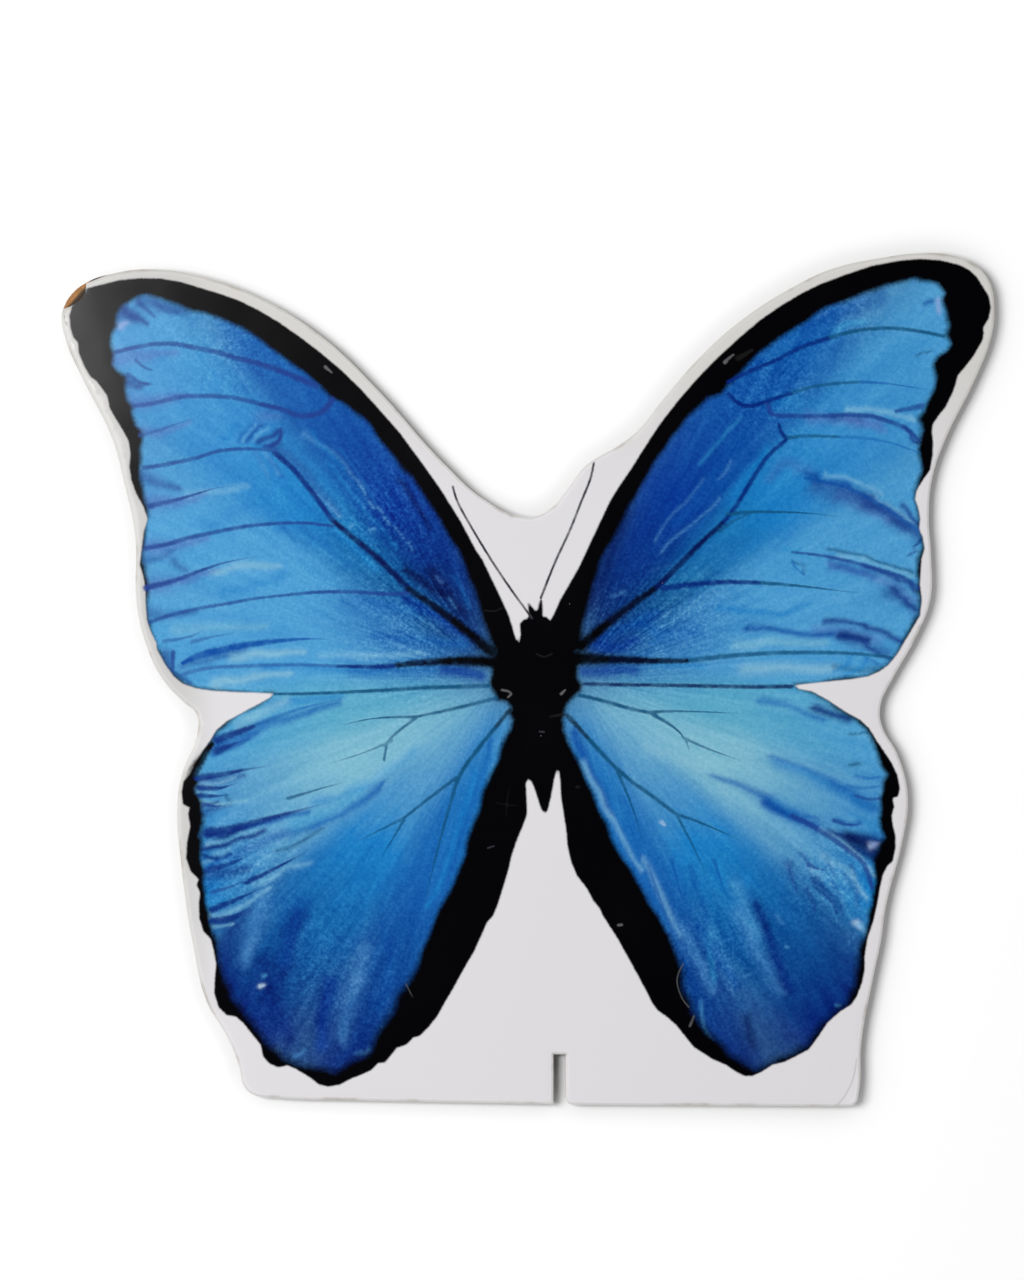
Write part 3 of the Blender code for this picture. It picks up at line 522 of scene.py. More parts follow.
    ("powder", 0.8, 0.5, 0.5, [(-68, -51.4), (-63, -49)]),
    ("powder", 0.5, 0.4, 0.7, [(-78.5, -61.3), (-74, -61.2)]),
    ("navy", 0.9, 0.7, 0.8, [(-77.6, -60.2), (-73, -59.6), (-69.4, -58)]),
    ("steel", 2.4, 1.8, 0.6, [(-66, -56), (-69, -63), (-70.6, -70)]),
    ("steel", 2.0, 1.6, 0.55, [(-41, -68), (-44, -80), (-46.4, -90)]),
    ("royal", 2.2, 1.6, 0.5, [(-57, -56), (-59.6, -64), (-61, -70)]),
    ("ultramarine", 2.2, 1.8, 0.6, [(-49, -76), (-51, -84), (-52, -92)]),
    # right forewing
    ("royal", 2.4, 2.4, 0.5, [(38, 40), (46, 50), (54, 60)]),
    ("azure", 2.4, 2.0, 0.35, [(63, 69), (68, 69.5)]),
    ("lilac", 0.9, 0.5, 0.7, [(102.6, 94.6), (103.2, 91.6)]),
    ("violet", 1.6, 1.4, 0.55, [(88, 64.6), (82, 65), (76, 65.2), (70, 65.4)]),
    ("powder", 0.9, 0.6, 0.7, [(80, 68), (88, 67.4), (93, 66.5), (97, 65.4)]),
    ("dusk", 1.0, 1.8, 0.7, [(72, 49.4), (78, 47.8), (84, 44.8), (90, 41.4), (95, 38.4)]),
    ("violet", 1.6, 1.0, 0.5, [(78, 46), (84, 42.6), (90, 39.2)]),
    ("powder", 0.7, 0.5, 0.5, [(74, 51.5), (82, 49.4), (88, 46.2)]),
    ("violet", 1.0, 1.2, 0.55, [(76, 29), (84, 26.5), (92, 23.8), (97, 20)]),
    ("dusk", 1.4, 1.0, 0.5, [(90, 22), (94.5, 19.5), (97, 15.5)]),
    ("violet", 1.6, 1.2, 0.5, [(72, 12.6), (80, 12), (88, 9.6)]),
    ("dusk", 1.4, 1.2, 0.6, [(78, 10.6), (84, 8.8), (90, 6.8)]),
    ("foam", 1.4, 1.0, 0.5, [(52, 8.6), (62, 9.6), (74, 9.4)]),
    ("mist", 1.6, 1.2, 0.55, [(54, 2.6), (64, 3), (76, 2.8)]),
    ("teal", 0.8, 0.8, 0.5, [(76, 3.4), (82, 2.4), (87, 3)]),
    ("cobalt", 2.4, 1.8, 0.55, [(28, 14), (35, 11.5), (43, 12.5)]),
    ("royal", 1.8, 1.6, 0.6, [(18, 10), (26, 13.5), (32, 16.5)]),
    ("cerulean", 0.5, 0.4, 0.4, [(43, 54), (48, 60), (53, 65.5)]),
    ("azure", 1.2, 0.8, 0.5, [(50, 44), (54, 50), (60, 57)]),
    ("slate", 1.6, 1.2, 0.4, [(70, 52), (64, 54), (60, 50)]),
    ("royal", 2.4, 1.6, 0.45, [(88, 95.6), (83, 93.8), (77, 91.4), (70, 88)]),
    ("steel", 0.4, 0.3, 0.5, [(72.4, 90.2), (73.6, 91.6)]),
    ("steel", 0.4, 0.3, 0.5, [(74.4, 91), (75.4, 92.4)]),
    ("cerulean", 1.0, 0.8, 0.5, [(77, 87.4), (80, 89), (84, 90)]),
    ("royal", 0.7, 0.6, 0.7, [(99.4, 94.4), (101, 94.6)]),
    ("teal", 0.35, 0.3, 0.6, [(97, 80.6), (98.6, 81.8), (101, 82.4)]),
    ("indigo", 1.0, 0.8, 0.6, [(76, 66), (80, 65.6), (83, 65)]),
    ("violet", 1.4, 1.0, 0.5, [(80, 65), (85, 64), (89, 62.6)]),
    ("indigo", 0.6, 0.5, 0.85, [(94.4, 63.6), (96.4, 61.8), (97.8, 59.6)]),
    ("royal", 0.9, 0.6, 0.7, [(48, 47), (52, 52), (57, 57)]),
    ("azure", 1.2, 0.9, 0.5, [(52, 47), (56, 52.6), (60, 58)]),
    ("royal", 1.0, 0.8, 0.7, [(69, 51), (74, 49.6), (80, 48.4)]),
    ("powder", 0.5, 0.4, 0.5, [(86, 45.8), (91, 42.8), (95.6, 39.4)]),
    ("indigo", 0.7, 0.5, 0.8, [(93.4, 43.4), (95.4, 41), (97.2, 38.6)]),
    ("navy", 0.5, 0.4, 0.8, [(97.8, 34.8), (96, 32.8)]),
    ("navy", 0.4, 0.3, 0.7, [(97.6, 32.2), (95.4, 31)]),
    ("powder", 0.6, 0.5, 0.6, [(78, 31), (84, 29.8), (91, 27.8), (97, 26)]),
    ("teal", 0.4, 0.4, 0.7, [(75, 32.4), (82, 31.2), (90, 28.9), (96.6, 26.8)]),
    ("indigo", 0.6, 0.7, 0.85, [(84, 28.4), (90, 26.4), (95, 24.6), (97.6, 22.6)]),
    ("royal", 1.4, 1.0, 0.5, [(76, 29.6), (80, 28), (86, 26)]),
    ("indigo", 0.8, 0.9, 0.8, [(91, 23), (93.6, 21.2), (95.4, 19.4), (97, 17.4)]),
    ("indigo", 0.9, 0.7, 0.85, [(74.6, 14.8), (80, 14.6), (83.6, 13.4)]),
    ("indigo", 0.8, 0.8, 0.85, [(84, 13), (89, 11.6), (93.6, 9.4)]),
    ("navy", 1.1, 0.9, 0.9, [(78, 11), (82, 10.4), (85, 9.8)]),
    ("indigo", 0.6, 0.5, 0.7, [(83.6, 9.4), (87, 7), (90.4, 5.4)]),
    ("royal", 0.9, 0.7, 0.75, [(55, 13), (62, 12.6), (69, 11.6), (76, 11.4)]),
    ("azure", 0.9, 0.7, 0.6, [(48, 18), (56, 17), (64, 16.6), (70, 19)]),
    ("azure", 0.6, 0.5, 0.6, [(76, 2.2), (79, 3.6), (81, 6)]),
    ("azure", 0.6, 0.5, 0.6, [(79, 0.8), (82, 2.6), (85, 5.4)]),
    ("cobalt", 0.5, 0.4, 0.6, [(85, 5.4), (88, 3.4)]),
    ("cerulean", 0.7, 0.6, 0.5, [(64, 33), (67, 32), (70, 30.4)]),
    ("teal", 0.4, 0.35, 0.6, [(66.6, 29.4), (68, 28), (69, 26.6)]),
    ("steel", 0.35, 0.3, 0.7, [(33, 32), (37, 35.6), (42, 39.4), (47.6, 44.8)]),
    ("steel", 0.35, 0.3, 0.5, [(31.6, 35), (35, 40), (39.6, 45), (44.6, 51)]),
    ("steel", 0.4, 0.3, 0.5, [(48, 50.6), (51.6, 55.6)]),
    ("midnight", 2.2, 1.8, 0.6, [(24.6, 42), (20, 30), (16, 19)]),
    ("steel", 0.35, 0.3, 0.5, [(21, 21), (24.6, 22.2)]),
    ("dusk", 0.3, 0.25, 0.5, [(31, 27), (36.4, 29.2)]),
    ("ultramarine", 1.8, 1.6, 0.7, [(17, 8.4), (22, 8.2), (26.6, 9.6)]),
    ("ultramarine", 1.6, 1.4, 0.7, [(14, 2.4), (20, 2.4), (27, 2.4)]),
    ("azure", 0.8, 0.7, 0.5, [(32, 3.6), (38, 4), (44, 3)]),
    ("dusk", 2.4, 2.0, 0.6, [(72, 47.6), (79, 46), (85, 43.4)]),
    ("indigo", 1.6, 1.5, 0.75, [(84, 45), (88.6, 42), (93, 38.8), (96.8, 35.8)]),
    ("ink", 1.7, 0.6, 0.9, [(12, 5.6), (20, 5.2), (28, 4.9)]),
    ("ink", 1.5, 0.4, 0.9, [(13.4, 8.6), (20, 14.2), (28, 20.2)]),
    # right hindwing
    ("royal", 1.4, 0.9, 0.8, [(11.5, -13), (14, -19), (17.4, -26), (21, -34)]),
    ("cobalt", 0.7, 1.4, 0.7, [(46, -24), (54, -26.8), (60, -30), (66, -34)]),
    ("cobalt", 0.7, 1.5, 0.6, [(60, -19), (70, -22.4), (78, -27), (86, -31.4)]),
    ("azure", 2.4, 2.4, 0.5, [(62, -31), (68, -34.6)]),
    ("indigo", 0.9, 0.5, 0.55, [(65, -45.6), (66, -49), (67.4, -53)]),
    ("indigo", 0.9, 0.5, 0.55, [(71.4, -50), (74.4, -54), (77, -58.4)]),
    ("indigo", 0.8, 0.5, 0.55, [(80.6, -46.6), (81.6, -50), (82.4, -53)]),
    ("indigo", 0.8, 0.4, 0.55, [(84, -47), (85.2, -49), (85.6, -51)]),
    ("indigo", 0.7, 0.4, 0.5, [(70.4, -52), (71.2, -54.6), (71.6, -58)]),
    ("indigo", 0.7, 0.4, 0.5, [(76.4, -51.4), (78, -54), (79, -57)]),
    ("dusk", 0.7, 0.4, 0.5, [(68, -43), (69.4, -45.4), (70.6, -48.6)]),
    ("dusk", 0.7, 0.4, 0.5, [(74, -44), (75.6, -46.4), (77, -49.4)]),
    ("cobalt", 1.0, 0.6, 0.6, [(58, -5), (66, -6.8), (74, -10)]),
    ("mist", 2.0, 1.6, 0.4, [(45, -22.5), (38, -20), (30, -17)]),
    ("cobalt", 1.6, 1.8, 0.5, [(60, -30.6), (66, -34), (73, -36.6)]),
    ("azure", 1.6, 1.2, 0.5, [(62, -20.8), (70, -23.6), (78, -28.4), (84, -31.4)]),
    ("navy", 1.0, 1.8, 0.85, [(75, -38.2), (81, -39.6), (87.5, -40.6)]),
    ("navy", 1.2, 1.4, 0.8, [(80, -41.4), (84, -43), (86.5, -44.4)]),
    ("powder", 1.0, 0.6, 0.55, [(74, -44), (80, -48), (84, -54)]),
    ("sky", 0.5, 0.3, 0.5, [(70, -50), (74, -55), (77.5, -60)]),
    ("sky", 0.5, 0.3, 0.5, [(75, -50), (78.5, -55), (81, -59.5)]),
    ("indigo", 0.6, 0.4, 0.5, [(72.5, -49.5), (76, -54), (79, -58.5)]),
    ("indigo", 0.6, 0.4, 0.5, [(79, -49), (81.5, -53), (83, -57)]),
    ("powder", 0.8, 0.6, 0.5, [(29, -45), (34, -55), (38, -64)]),
    ("powder", 0.9, 0.6, 0.6, [(14, -21), (19, -31), (24, -40), (28, -47)]),
    ("sky", 0.5, 0.4, 0.5, [(43, -80), (44, -86), (46, -90)]),
    ("royal", 0.9, 0.7, 0.5, [(41, -47), (43, -55), (45, -60)]),
    ("bright", 0.7, 0.4, 0.8, [(82, -60.4), (82.8, -61.6)]),
    ("sky", 0.4, 0.3, 0.8, [(64.8, -67), (65.4, -67.2)]),
    ("bright", 0.5, 0.4, 0.6, [(33.2, -35.6), (33.8, -36)]),
    ("sky", 0.4, 0.3, 0.7, [(77.3, -81.5), (77.9, -81.4)]),
    ("cobalt", 1.4, 1.4, 0.6, [(76, -26), (80, -28.4), (85, -31.6)]),
    ("teal", 0.4, 0.3, 0.7, [(80.6, -13.6), (82.6, -13.4), (84.4, -12.6)]),
    ("teal", 0.35, 0.3, 0.7, [(80, -21.4), (82.8, -21)]),
    ("navy", 1.3, 1.2, 0.85, [(72, -6.8), (76, -8.2), (80, -9.6)]),
    ("royal", 1.1, 0.9, 0.8, [(60, -30.8), (66, -34.4), (72, -37.2)]),
    ("cobalt", 0.6, 0.5, 0.7, [(69.4, -34), (72, -34.4)]),
    ("royal", 0.6, 0.5, 0.75, [(77, -35.2), (80.6, -35.8), (83.4, -35.6)]),
    ("midnight", 1.6, 1.8, 0.9, [(80, -39.4), (84, -41), (86.6, -43)]),
    ("lilac", 0.6, 0.4, 0.7, [(85, -41.6), (88, -41.2)]),
    ("powder", 0.5, 0.45, 0.6, [(73, -37.2), (78, -40.4), (82.6, -44), (86.4, -49)]),
    ("baby", 0.7, 0.6, 0.5, [(70.4, -47.8), (73, -48.8)]),
    ("cobalt", 0.5, 0.4, 0.6, [(76.8, -51.8), (79.6, -52.2)]),
    ("azure", 1.4, 1.0, 0.6, [(47.6, -46), (48.8, -51)]),
    ("azure", 1.0, 0.8, 0.6, [(54.4, -48), (55, -52)]),
    ("navy", 1.6, 2.0, 0.85, [(57.6, -57), (60.4, -64), (62.6, -71), (65, -77)]),
    ("steel", 2.0, 1.2, 0.5, [(52.6, -58), (56, -65.6), (60, -73), (63, -78)]),
    ("sky", 2.0, 1.4, 0.4, [(52, -52), (54, -58), (57, -63)]),
    ("steel", 2.2, 1.4, 0.5, [(37.6, -62), (41, -68), (44, -73.6), (46, -77)]),
    ("cerulean", 1.2, 0.9, 0.45, [(45, -64), (46, -70), (46.6, -75)]),
    ("royal", 1.4, 1.2, 0.5, [(43, -62), (48, -70), (52, -76)]),
    ("steel", 0.5, 0.4, 0.6, [(62.4, -59), (64, -61.4)]),
    ("baby", 0.8, 0.5, 0.7, [(82.6, -60.8), (84.2, -62.8)]),
    ("steel", 0.3, 0.25, 0.6, [(80.6, -64), (80.6, -66)]),
    ("steel", 0.3, 0.25, 0.6, [(82.2, -63.8), (82.2, -65.4)]),
    ("midnight", 1.4, 1.2, 0.6, [(54.6, -84), (55.6, -88), (56.4, -92)]),
]

# Where the mottle is coarse: a place, its radius and how much stronger it is there
ROUGH = [
    (-28, 14, 14, 1.2), (-72, 84, 12, 0.8), (-35, 40, 14, 1.1), (24, 12, 12, 1.0),
    (40, 17, 12, 0.8), (60, 77, 14, 0.9), (80, 91, 8, 0.7), (-50, -76, 20, 0.8),
    (-72, -46, 10, 1.2), (48, -68, 14, 0.9), (76, -50, 9, 1.2),
]

# Where the fine vertices of the film are
FINE_SPACING = 0.55
BLACK_STRIDE = 2
WHITE_STRIDE = 4
LINE_SPACING = 0.55
FINE_RIM = 0.9
EDGE_SPACING = 0.7
RIM_ROWS = (0.3, 0.65)
EDGE_CLEARANCE = 1.0
LINE_CLEARANCE = 0.3
LINE_REACH = 3.0
FAR = 9.0
WASH_REACH = 30.0
WASH_SOFTNESS = 8.0

# How far the paint is feathered along the grain: length and width of the barbs, and reach
LONG_BARBS = (13.0, 1.5, 2.6)
SHORT_BARBS = (4.0, 0.7, 1.3)
WANDER = (4.0, 0.4)
PAINT_BARBS = 1.0
STROKE_BARBS = 0.3
MARGIN_BARBS = 0.12
NOISE_SIDE = 512

# The margin of the lower hindwings fades over a wider strip, full below the reach
MARGIN_FADE = 0.8
FADE_BELOW = -62.0
FADE_REACH = 20.0

# The chip at the left wing's tip and the film's lifted corner, in millimetres
CHIP_PLACE = (-113.2, 95.4)
CHIP_REACH = 6.5
CHIP_LINE = ((-115.6, 92.2), (-110.1, 98.4))
CORNER_FOLD = ((77.0, -106.6), (82.9, -98.0))
CORNER_REACH = 4.0

# The lamps and the middle of the picture, in metres
SOFTBOX_PLACE = (-0.85, 0.15, 1.25)
SOFTBOX_SIZE = 0.7
WINDOW_PLACE = (-0.325, 0.165, 1.0)
WINDOW_AIM = (-0.1, 0.08, 0)
WINDOW_SIZE = 0.08
PICTURE_CENTRE = (-0.004, 0.010)

# Height of a direction and share of the tent's strength there
TENT_STOPS = ((0.12, 0.28), (0.30, 1.0), (0.62, 1.0), (0.80, 0.004))


class FilmSettings(bpy.types.PropertyGroup):
    """Sizes of the printed film and of its wear."""

    thickness: bpy.props.FloatProperty(
        name="Thickness",
        description="Thickness of the film with its glue, down to the board's face",
        default=FILM_HIGH.z - BOARD_HIGH.z - 0.02 * MM,
        unit="LENGTH",
    )
    rim_width: bpy.props.FloatProperty(
        name="Rim width",
        description="Width of the strip along the cut that the saw or laser has rounded",
        default=0.65 * MM,
        unit="LENGTH",
    )
    rim_drop: bpy.props.FloatProperty(
        name="Rim drop",
        description="How far the film is rolled down at its edge",
        default=0.2 * MM,
        unit="LENGTH",
    )
    corner_lift: bpy.props.FloatProperty(
        name="Corner lift",
        description="How far the lower right corner has come off the board",
        default=0.5 * MM,
        unit="LENGTH",
    )
    roughness: bpy.props.FloatProperty(
        name="Roughness",
        description="Roughness of the film's glossy face",
        default=0.15,
        subtype="FACTOR",
    )
    depth: bpy.props.FloatProperty(
        name="Depth",
        description="Power that the blue ink's channels are raised to on average",
        default=1.05,
    )
    grain: bpy.props.FloatProperty(
        name="Grain",
        description="Strength of the wing scales' mottle in the picture",
        default=1.0,
        subtype="FACTOR",
    )


class BoardSettings(bpy.types.PropertyGroup):
    """Colours of the fibreboard."""

    fibre_colour: bpy.props.FloatVectorProperty(
        name="Fibre colour",
        description="Colour of the broken board at the chip",
        default=(0.29, 0.132, 0.038),
        subtype="COLOR",
    )
    back_colour: bpy.props.FloatVectorProperty(
        name="Back colour",
        description="Colour of the board's smooth pressed back",
        default=(0.33, 0.20, 0.105),
        subtype="COLOR",
    )
    char_colour: bpy.props.FloatVectorProperty(
        name="Char colour",
        description="Colour of the edge where the laser has burnt it",
        default=(0.0035, 0.0018, 0.0010),
        subtype="COLOR",
    )


class StageSettings(bpy.types.PropertyGroup):
    """Floor, light and camera."""

    floor_colour: bpy.props.FloatVectorProperty(
        name="Floor colour",
        description="Colour of the pale floor under the panel",
        default=(0.97, 0.97, 0.97),
        subtype="COLOR",
    )
    camera_height: bpy.props.FloatProperty(
        name="Camera height",
        description="Height of the camera above the panel's face",
        default=1.0,
        unit="LENGTH",
    )
    picture_height: bpy.props.FloatProperty(
        name="Picture height",
        description="Height of what the camera sees at the panel's face",
        default=0.320,
        unit="LENGTH",
    )
    softbox_power: bpy.props.FloatProperty(
        name="Softbox power",
        description="Power of the softbox on the left",
        default=15.6,
        unit="POWER",
    )
    tent_strength: bpy.props.FloatProperty(
        name="Tent strength",
        description="Strength of the light that comes from all round",
        default=1.04,
    )
    window_power: bpy.props.FloatProperty(
        name="Window power",
        description="Power of the dim light that the film's upper left mirrors",
        default=1.1,
        unit="POWER",
    )


def linear(colour):
    """Linear value of an 8 bit daylight colour: the usual piecewise power law."""
    share = np.asarray(colour, float) / 255.0
    return np.where(share <= 0.04045, share / 12.92, ((share + 0.055) / 1.055) ** 2.4)


INK = {name: linear(colour) for name, colour in PALETTE.items()}


class Wire:
    """A number in a material, so that a formula can be written as it is read."""

    def __init__(self, finish, socket):
        self.finish = finish
        self.socket = socket

    def __add__(self, other):
        return self.finish.math("ADD", self, other)

    __radd__ = __add__

    def __sub__(self, other):
        return self.finish.math("SUBTRACT", self, other)

    def __rsub__(self, other):
        return self.finish.math("SUBTRACT", other, self)

    def __mul__(self, other):
        return self.finish.math("MULTIPLY", self, other)

    __rmul__ = __mul__


class Finish:
    """A material that is being made, with one Principled shader."""

    def __init__(self, name):
        self.material = bpy.data.materials.new(name)
        self.material.use_nodes = True
        self.tree = self.material.node_tree
        self.shader = self.tree.nodes["Principled BSDF"]

    def node(self, kind, settings, sockets, output=0):
        """Add a node: its settings are set first, then the values or links of its sockets."""
        node = self.tree.nodes.new(kind)
        for name, value in settings.items():
            setattr(node, name, value)
        for key, value in sockets.items():
            self.feed(node.inputs[key], value)
        return Wire(self, node.outputs[output])

    def feed(self, socket, value):
        """Link a wire to a socket, or set the socket's own value."""
        if isinstance(value, Wire):
            self.tree.links.new(value.socket, socket)
        else:
            socket.default_value = value

    def math(self, operation, *values):
        return self.node("ShaderNodeMath", {"operation": operation}, dict(enumerate(values)))

    def step(self, value, low, high):
        """0 below low, 1 above high, and a smooth step between them."""
        return self.node("ShaderNodeMapRange", {"interpolation_type": "SMOOTHSTEP"},
                         {"Value": value, "From Min": low, "From Max": high})

    def mix(self, share, first, second, way="MIX"):
        """Colour between the first at share 0 and the second at share 1."""
        return self.node("ShaderNodeMix", {"data_type": "RGBA", "blend_type": way},
                         {0: share, 6: first, 7: second}, 2)

    def attribute(self, name, output=2):
        return self.node("ShaderNodeAttribute", {"attribute_name": name}, {}, output)

    def place(self):
        """Object coordinates, in millimetres."""
        metres = self.node("ShaderNodeTexCoord", {}, {}, 3)
        return self.stretch(metres, (1 / MM, 1 / MM, 1 / MM))

    def stretch(self, vector, scale):
        return self.node("ShaderNodeVectorMath", {"operation": "MULTIPLY"},
                         {0: vector, 1: scale})

    def axes(self, vector):
        parts = self.node("ShaderNodeSeparateXYZ", {}, {0: vector})
        node = parts.socket.node
        return [Wire(self, socket) for socket in node.outputs]

    def noise(self, vector, size, detail=2.0, roughness=0.5):
        """Noise from 0 to 1 whose lumps are about the given size."""
        return self.node("ShaderNodeTexNoise", {},
                         {"Vector": vector, "Scale": 1.0 / size, "Detail": detail,
                          "Roughness": roughness})

    def specks(self, vector, size, radius):
        """1 in round specks of the given radius, one in each cell of the given size."""
        far = self.node("ShaderNodeTexVoronoi", {}, {"Vector": vector, "Scale": 1.0 / size})
        return self.step(far, radius / size, 0.6 * radius / size)

    def bump(self, height, depth):
        """Normal of a relief of the given depth in metres."""
        return self.node("ShaderNodeBump", {}, {"Height": height, "Distance": depth})

    def opaque(self, colour):
        """Colour with alpha for a socket."""
        return (*[float(part) for part in colour], 1.0)


def smooth_path(points, steps=4):
    """A Catmull-Rom curve through the points: between two points it is the cubic whose slope
    at each is half the way between that point's neighbours."""
    knots = np.array(points, float)
    padded = np.vstack([2 * knots[0] - knots[1], knots, 2 * knots[-1] - knots[-2]])
    before, start, end, after = padded[:-3], padded[1:-2], padded[2:-1], padded[3:]
    share = (np.arange(steps) / steps)[None, :, None]
    before, start, end, after = (part[:, None, :] for part in (before, start, end, after))
    curve = 0.5 * (2 * start + (end - before) * share
                   + (2 * before - 5 * start + 4 * end - after) * share ** 2
                   + (3 * start - before - 3 * end + after) * share ** 3)
    return np.vstack([curve.reshape(-1, 2), knots[-1:]])


def closed(points):
    return np.vstack([points, points[:1]])


def nearest_on_path(points, path, reach):
    """Distance from each point to a path, no more than the reach, and how far along the path
    the nearest place is, from 0 at its start to 1 at its end by length. The points are sorted
    by x, so that each run of the path looks only at the points near it."""
    lengths = np.maximum(np.linalg.norm(np.diff(path, axis=0), axis=1), 1e-9)
    starts = np.concatenate([[0.0], np.cumsum(lengths)])
    best = np.full(len(points), float(reach) ** 2)
    along = np.zeros(len(points))
    for start, end, length, before in zip(path[:-1], path[1:], lengths, starts):
        run = end - start
        first, last = np.searchsorted(points[:, 0], (min(start[0], end[0]) - reach,
                                                     max(start[0], end[0]) + reach))
        near = np.arange(first, last)
        height = points[first:last, 1]
        near = near[(height > min(start[1], end[1]) - reach)
                    & (height < max(start[1], end[1]) + reach)]
        away = points[near] - start
        share = np.clip(away @ run / length ** 2, 0.0, 1.0)
        gap = away - share[:, None] * run
        square = np.einsum("ij,ij->i", gap, gap)
        closer = square < best[near]
        best[near[closer]] = square[closer]
        along[near[closer]] = before + share[closer] * length
    return np.sqrt(best), along / starts[-1]


def inside(points, loop):
    """True where a point is in the loop: a ray to the right crosses it an odd number of
    times. Each run of the loop looks only at the points whose y it spans."""
    order = np.argsort(points[:, 1])
    x, y = points[order].T
    odd = np.zeros(len(points), bool)
    for (x0, y0), (x1, y1) in zip(loop[:-1], loop[1:]):
        if y0 == y1:
            continue
        first, last = np.searchsorted(y, sorted((y0, y1)))
        crossing = x0 + (y[first:last] - y0) * (x1 - x0) / (y1 - y0)
        odd[first:last] ^= x[first:last] < crossing
    result = np.zeros(len(points), bool)
    result[order] = odd
    return result


def depth_in(points, loop, reach):
    """Signed distance to a closed loop, positive inside and no more than the reach."""
    distance, _ = nearest_on_path(points, loop, reach)
    return np.where(inside(points, loop), distance, -distance)


def film_outline():
    """The film's outline in millimetres, anticlockwise, from the edge of its CAD solid's upper
    face: the corners of its faces whose sides only one face uses, in a chain."""
    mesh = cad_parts["printed_film"].data
    place = np.array([vertex.co for vertex in mesh.vertices]) / MM
    _, same = np.unique(np.round(place, 3), axis=0, return_inverse=True)
    same = same.ravel()
    top = place[:, 2] > FILM_HIGH.z / MM - 0.01
    spot = {}
    uses = {}
    for face in mesh.polygons:
        corners = list(face.vertices)
        if not all(top[corner] for corner in corners):
            continue
        for first, second in zip(corners, corners[1:] + corners[:1]):
            a, b = int(same[first]), int(same[second])
            spot[a] = place[first, :2]
            spot[b] = place[second, :2]
            uses.setdefault(frozenset((a, b)), []).append((a, b))
    following = dict(pairs[0] for pairs in uses.values() if len(pairs) == 1)
    start = next(iter(following))
    chain = [start]
    while following[chain[-1]] != start:
        chain.append(following[chain[-1]])
    return closed(np.array([spot[key] for key in chain]))


def divide(loop, spacing):
    """The corners of a closed loop, and points between them at most the spacing apart."""
    rows = []
    for start, end in zip(loop[:-1], loop[1:]):
        count = max(1, math.ceil(np.linalg.norm(end - start) / spacing))
        rows.append(start + (end - start) * (np.arange(count) / count)[:, None])
    return np.vstack(rows)


def butterfly_outline():
    """The closed outline of the whole picture."""
    stretches = [LEFT_FOREWING_TOP, HEAD, RIGHT_FOREWING_TOP, RIGHT_FOREWING_SIDE,
                 RIGHT_HINDWING_SIDE, RIGHT_HINDWING_INNER, ABDOMEN, LEFT_HINDWING_INNER,
                 LEFT_HINDWING_SIDE, LEFT_FOREWING_SIDE]
    return closed(np.array(sum(stretches, [])))


def all_lines():
    return (LEFT_FOREWING_LINES + RIGHT_FOREWING_LINES + LEFT_HINDWING_LINES
            + RIGHT_HINDWING_LINES + FINE_LINES)


def resample(path, spacing):
    """Points every spacing along a path."""
    lengths = np.linalg.norm(np.diff(path, axis=0), axis=1)
    starts = np.concatenate([[0.0], np.cumsum(lengths)])
    stops = np.linspace(0.0, starts[-1], max(2, round(starts[-1] / spacing) + 1))
    return np.column_stack([np.interp(stops, starts, path[:, axis]) for axis in (0, 1)])


def film_points(edge, silhouette, fields):
    """The film's vertices inside its edge: rows along the veins, and a lattice that is fine
    in the blue and near edges, coarser in the black and coarsest in the white."""
    paths = [smooth_path(line[4]) for line in all_lines()]
    rows = np.vstack([resample(path, LINE_SPACING) for path in paths])
    _, first = np.unique(np.round(rows / (0.5 * LINE_SPACING)), axis=0, return_index=True)
    rows = by_x(rows[first])
    low, high = edge.min(0), edge.max(0)
    columns = np.arange(int((high[0] - low[0]) / FINE_SPACING) + 2)
    ranks = np.arange(int((high[1] - low[1]) / FINE_SPACING) + 2)
    j, i = (part.ravel() for part in np.meshgrid(ranks, columns))
    lattice = np.column_stack([low[0] + i * FINE_SPACING,
                               low[1] + (j + 0.5 * (i % 2)) * FINE_SPACING])
    clear = inside(lattice, edge) & (nearest_on_path(lattice, edge, 2.0)[0] > EDGE_CLEARANCE)
    lattice, i, j = lattice[clear], i[clear], j[clear]
    depth = depth_in(lattice, silhouette, 2.0)
    blue = np.max([depth_in(lattice, field, 2.0) for field in fields], axis=0)
    to_line = np.min([nearest_on_path(lattice, path, 2.0)[0] for path in paths], axis=0)
    fine = (blue > -FINE_RIM) | (np.abs(depth) < FINE_RIM) | (to_line < FINE_RIM)
    black = (i % BLACK_STRIDE == 0) & (j % BLACK_STRIDE == 0) & (depth > 0)
    white = (i % WHITE_STRIDE == 0) & (j % WHITE_STRIDE == 0)
    lattice = lattice[(fine | black | white) & (to_line > LINE_CLEARANCE)]
    rows = rows[inside(rows, edge) & (nearest_on_path(rows, edge, 2.0)[0] > EDGE_CLEARANCE)]
    return np.vstack([rim_rows(edge), rows, lattice])


def rim_rows(edge):
    """Rows of points beside the film's edge: each point of the divided edge moved inwards,
    square to the run between its neighbours, where no other edge is nearer."""
    ring = divide(edge, EDGE_SPACING)
    run = np.roll(ring, -1, axis=0) - np.roll(ring, 1, axis=0)
    inward = np.column_stack([-run[:, 1], run[:, 0]]) / np.linalg.norm(run, axis=1)[:, None]
    rows = []
    for offset in RIM_ROWS:
        row = by_x(ring + offset * inward)
        rows.append(row[nearest_on_path(row, edge, 2.0)[0] > 0.85 * offset])
    return np.vstack(rows)


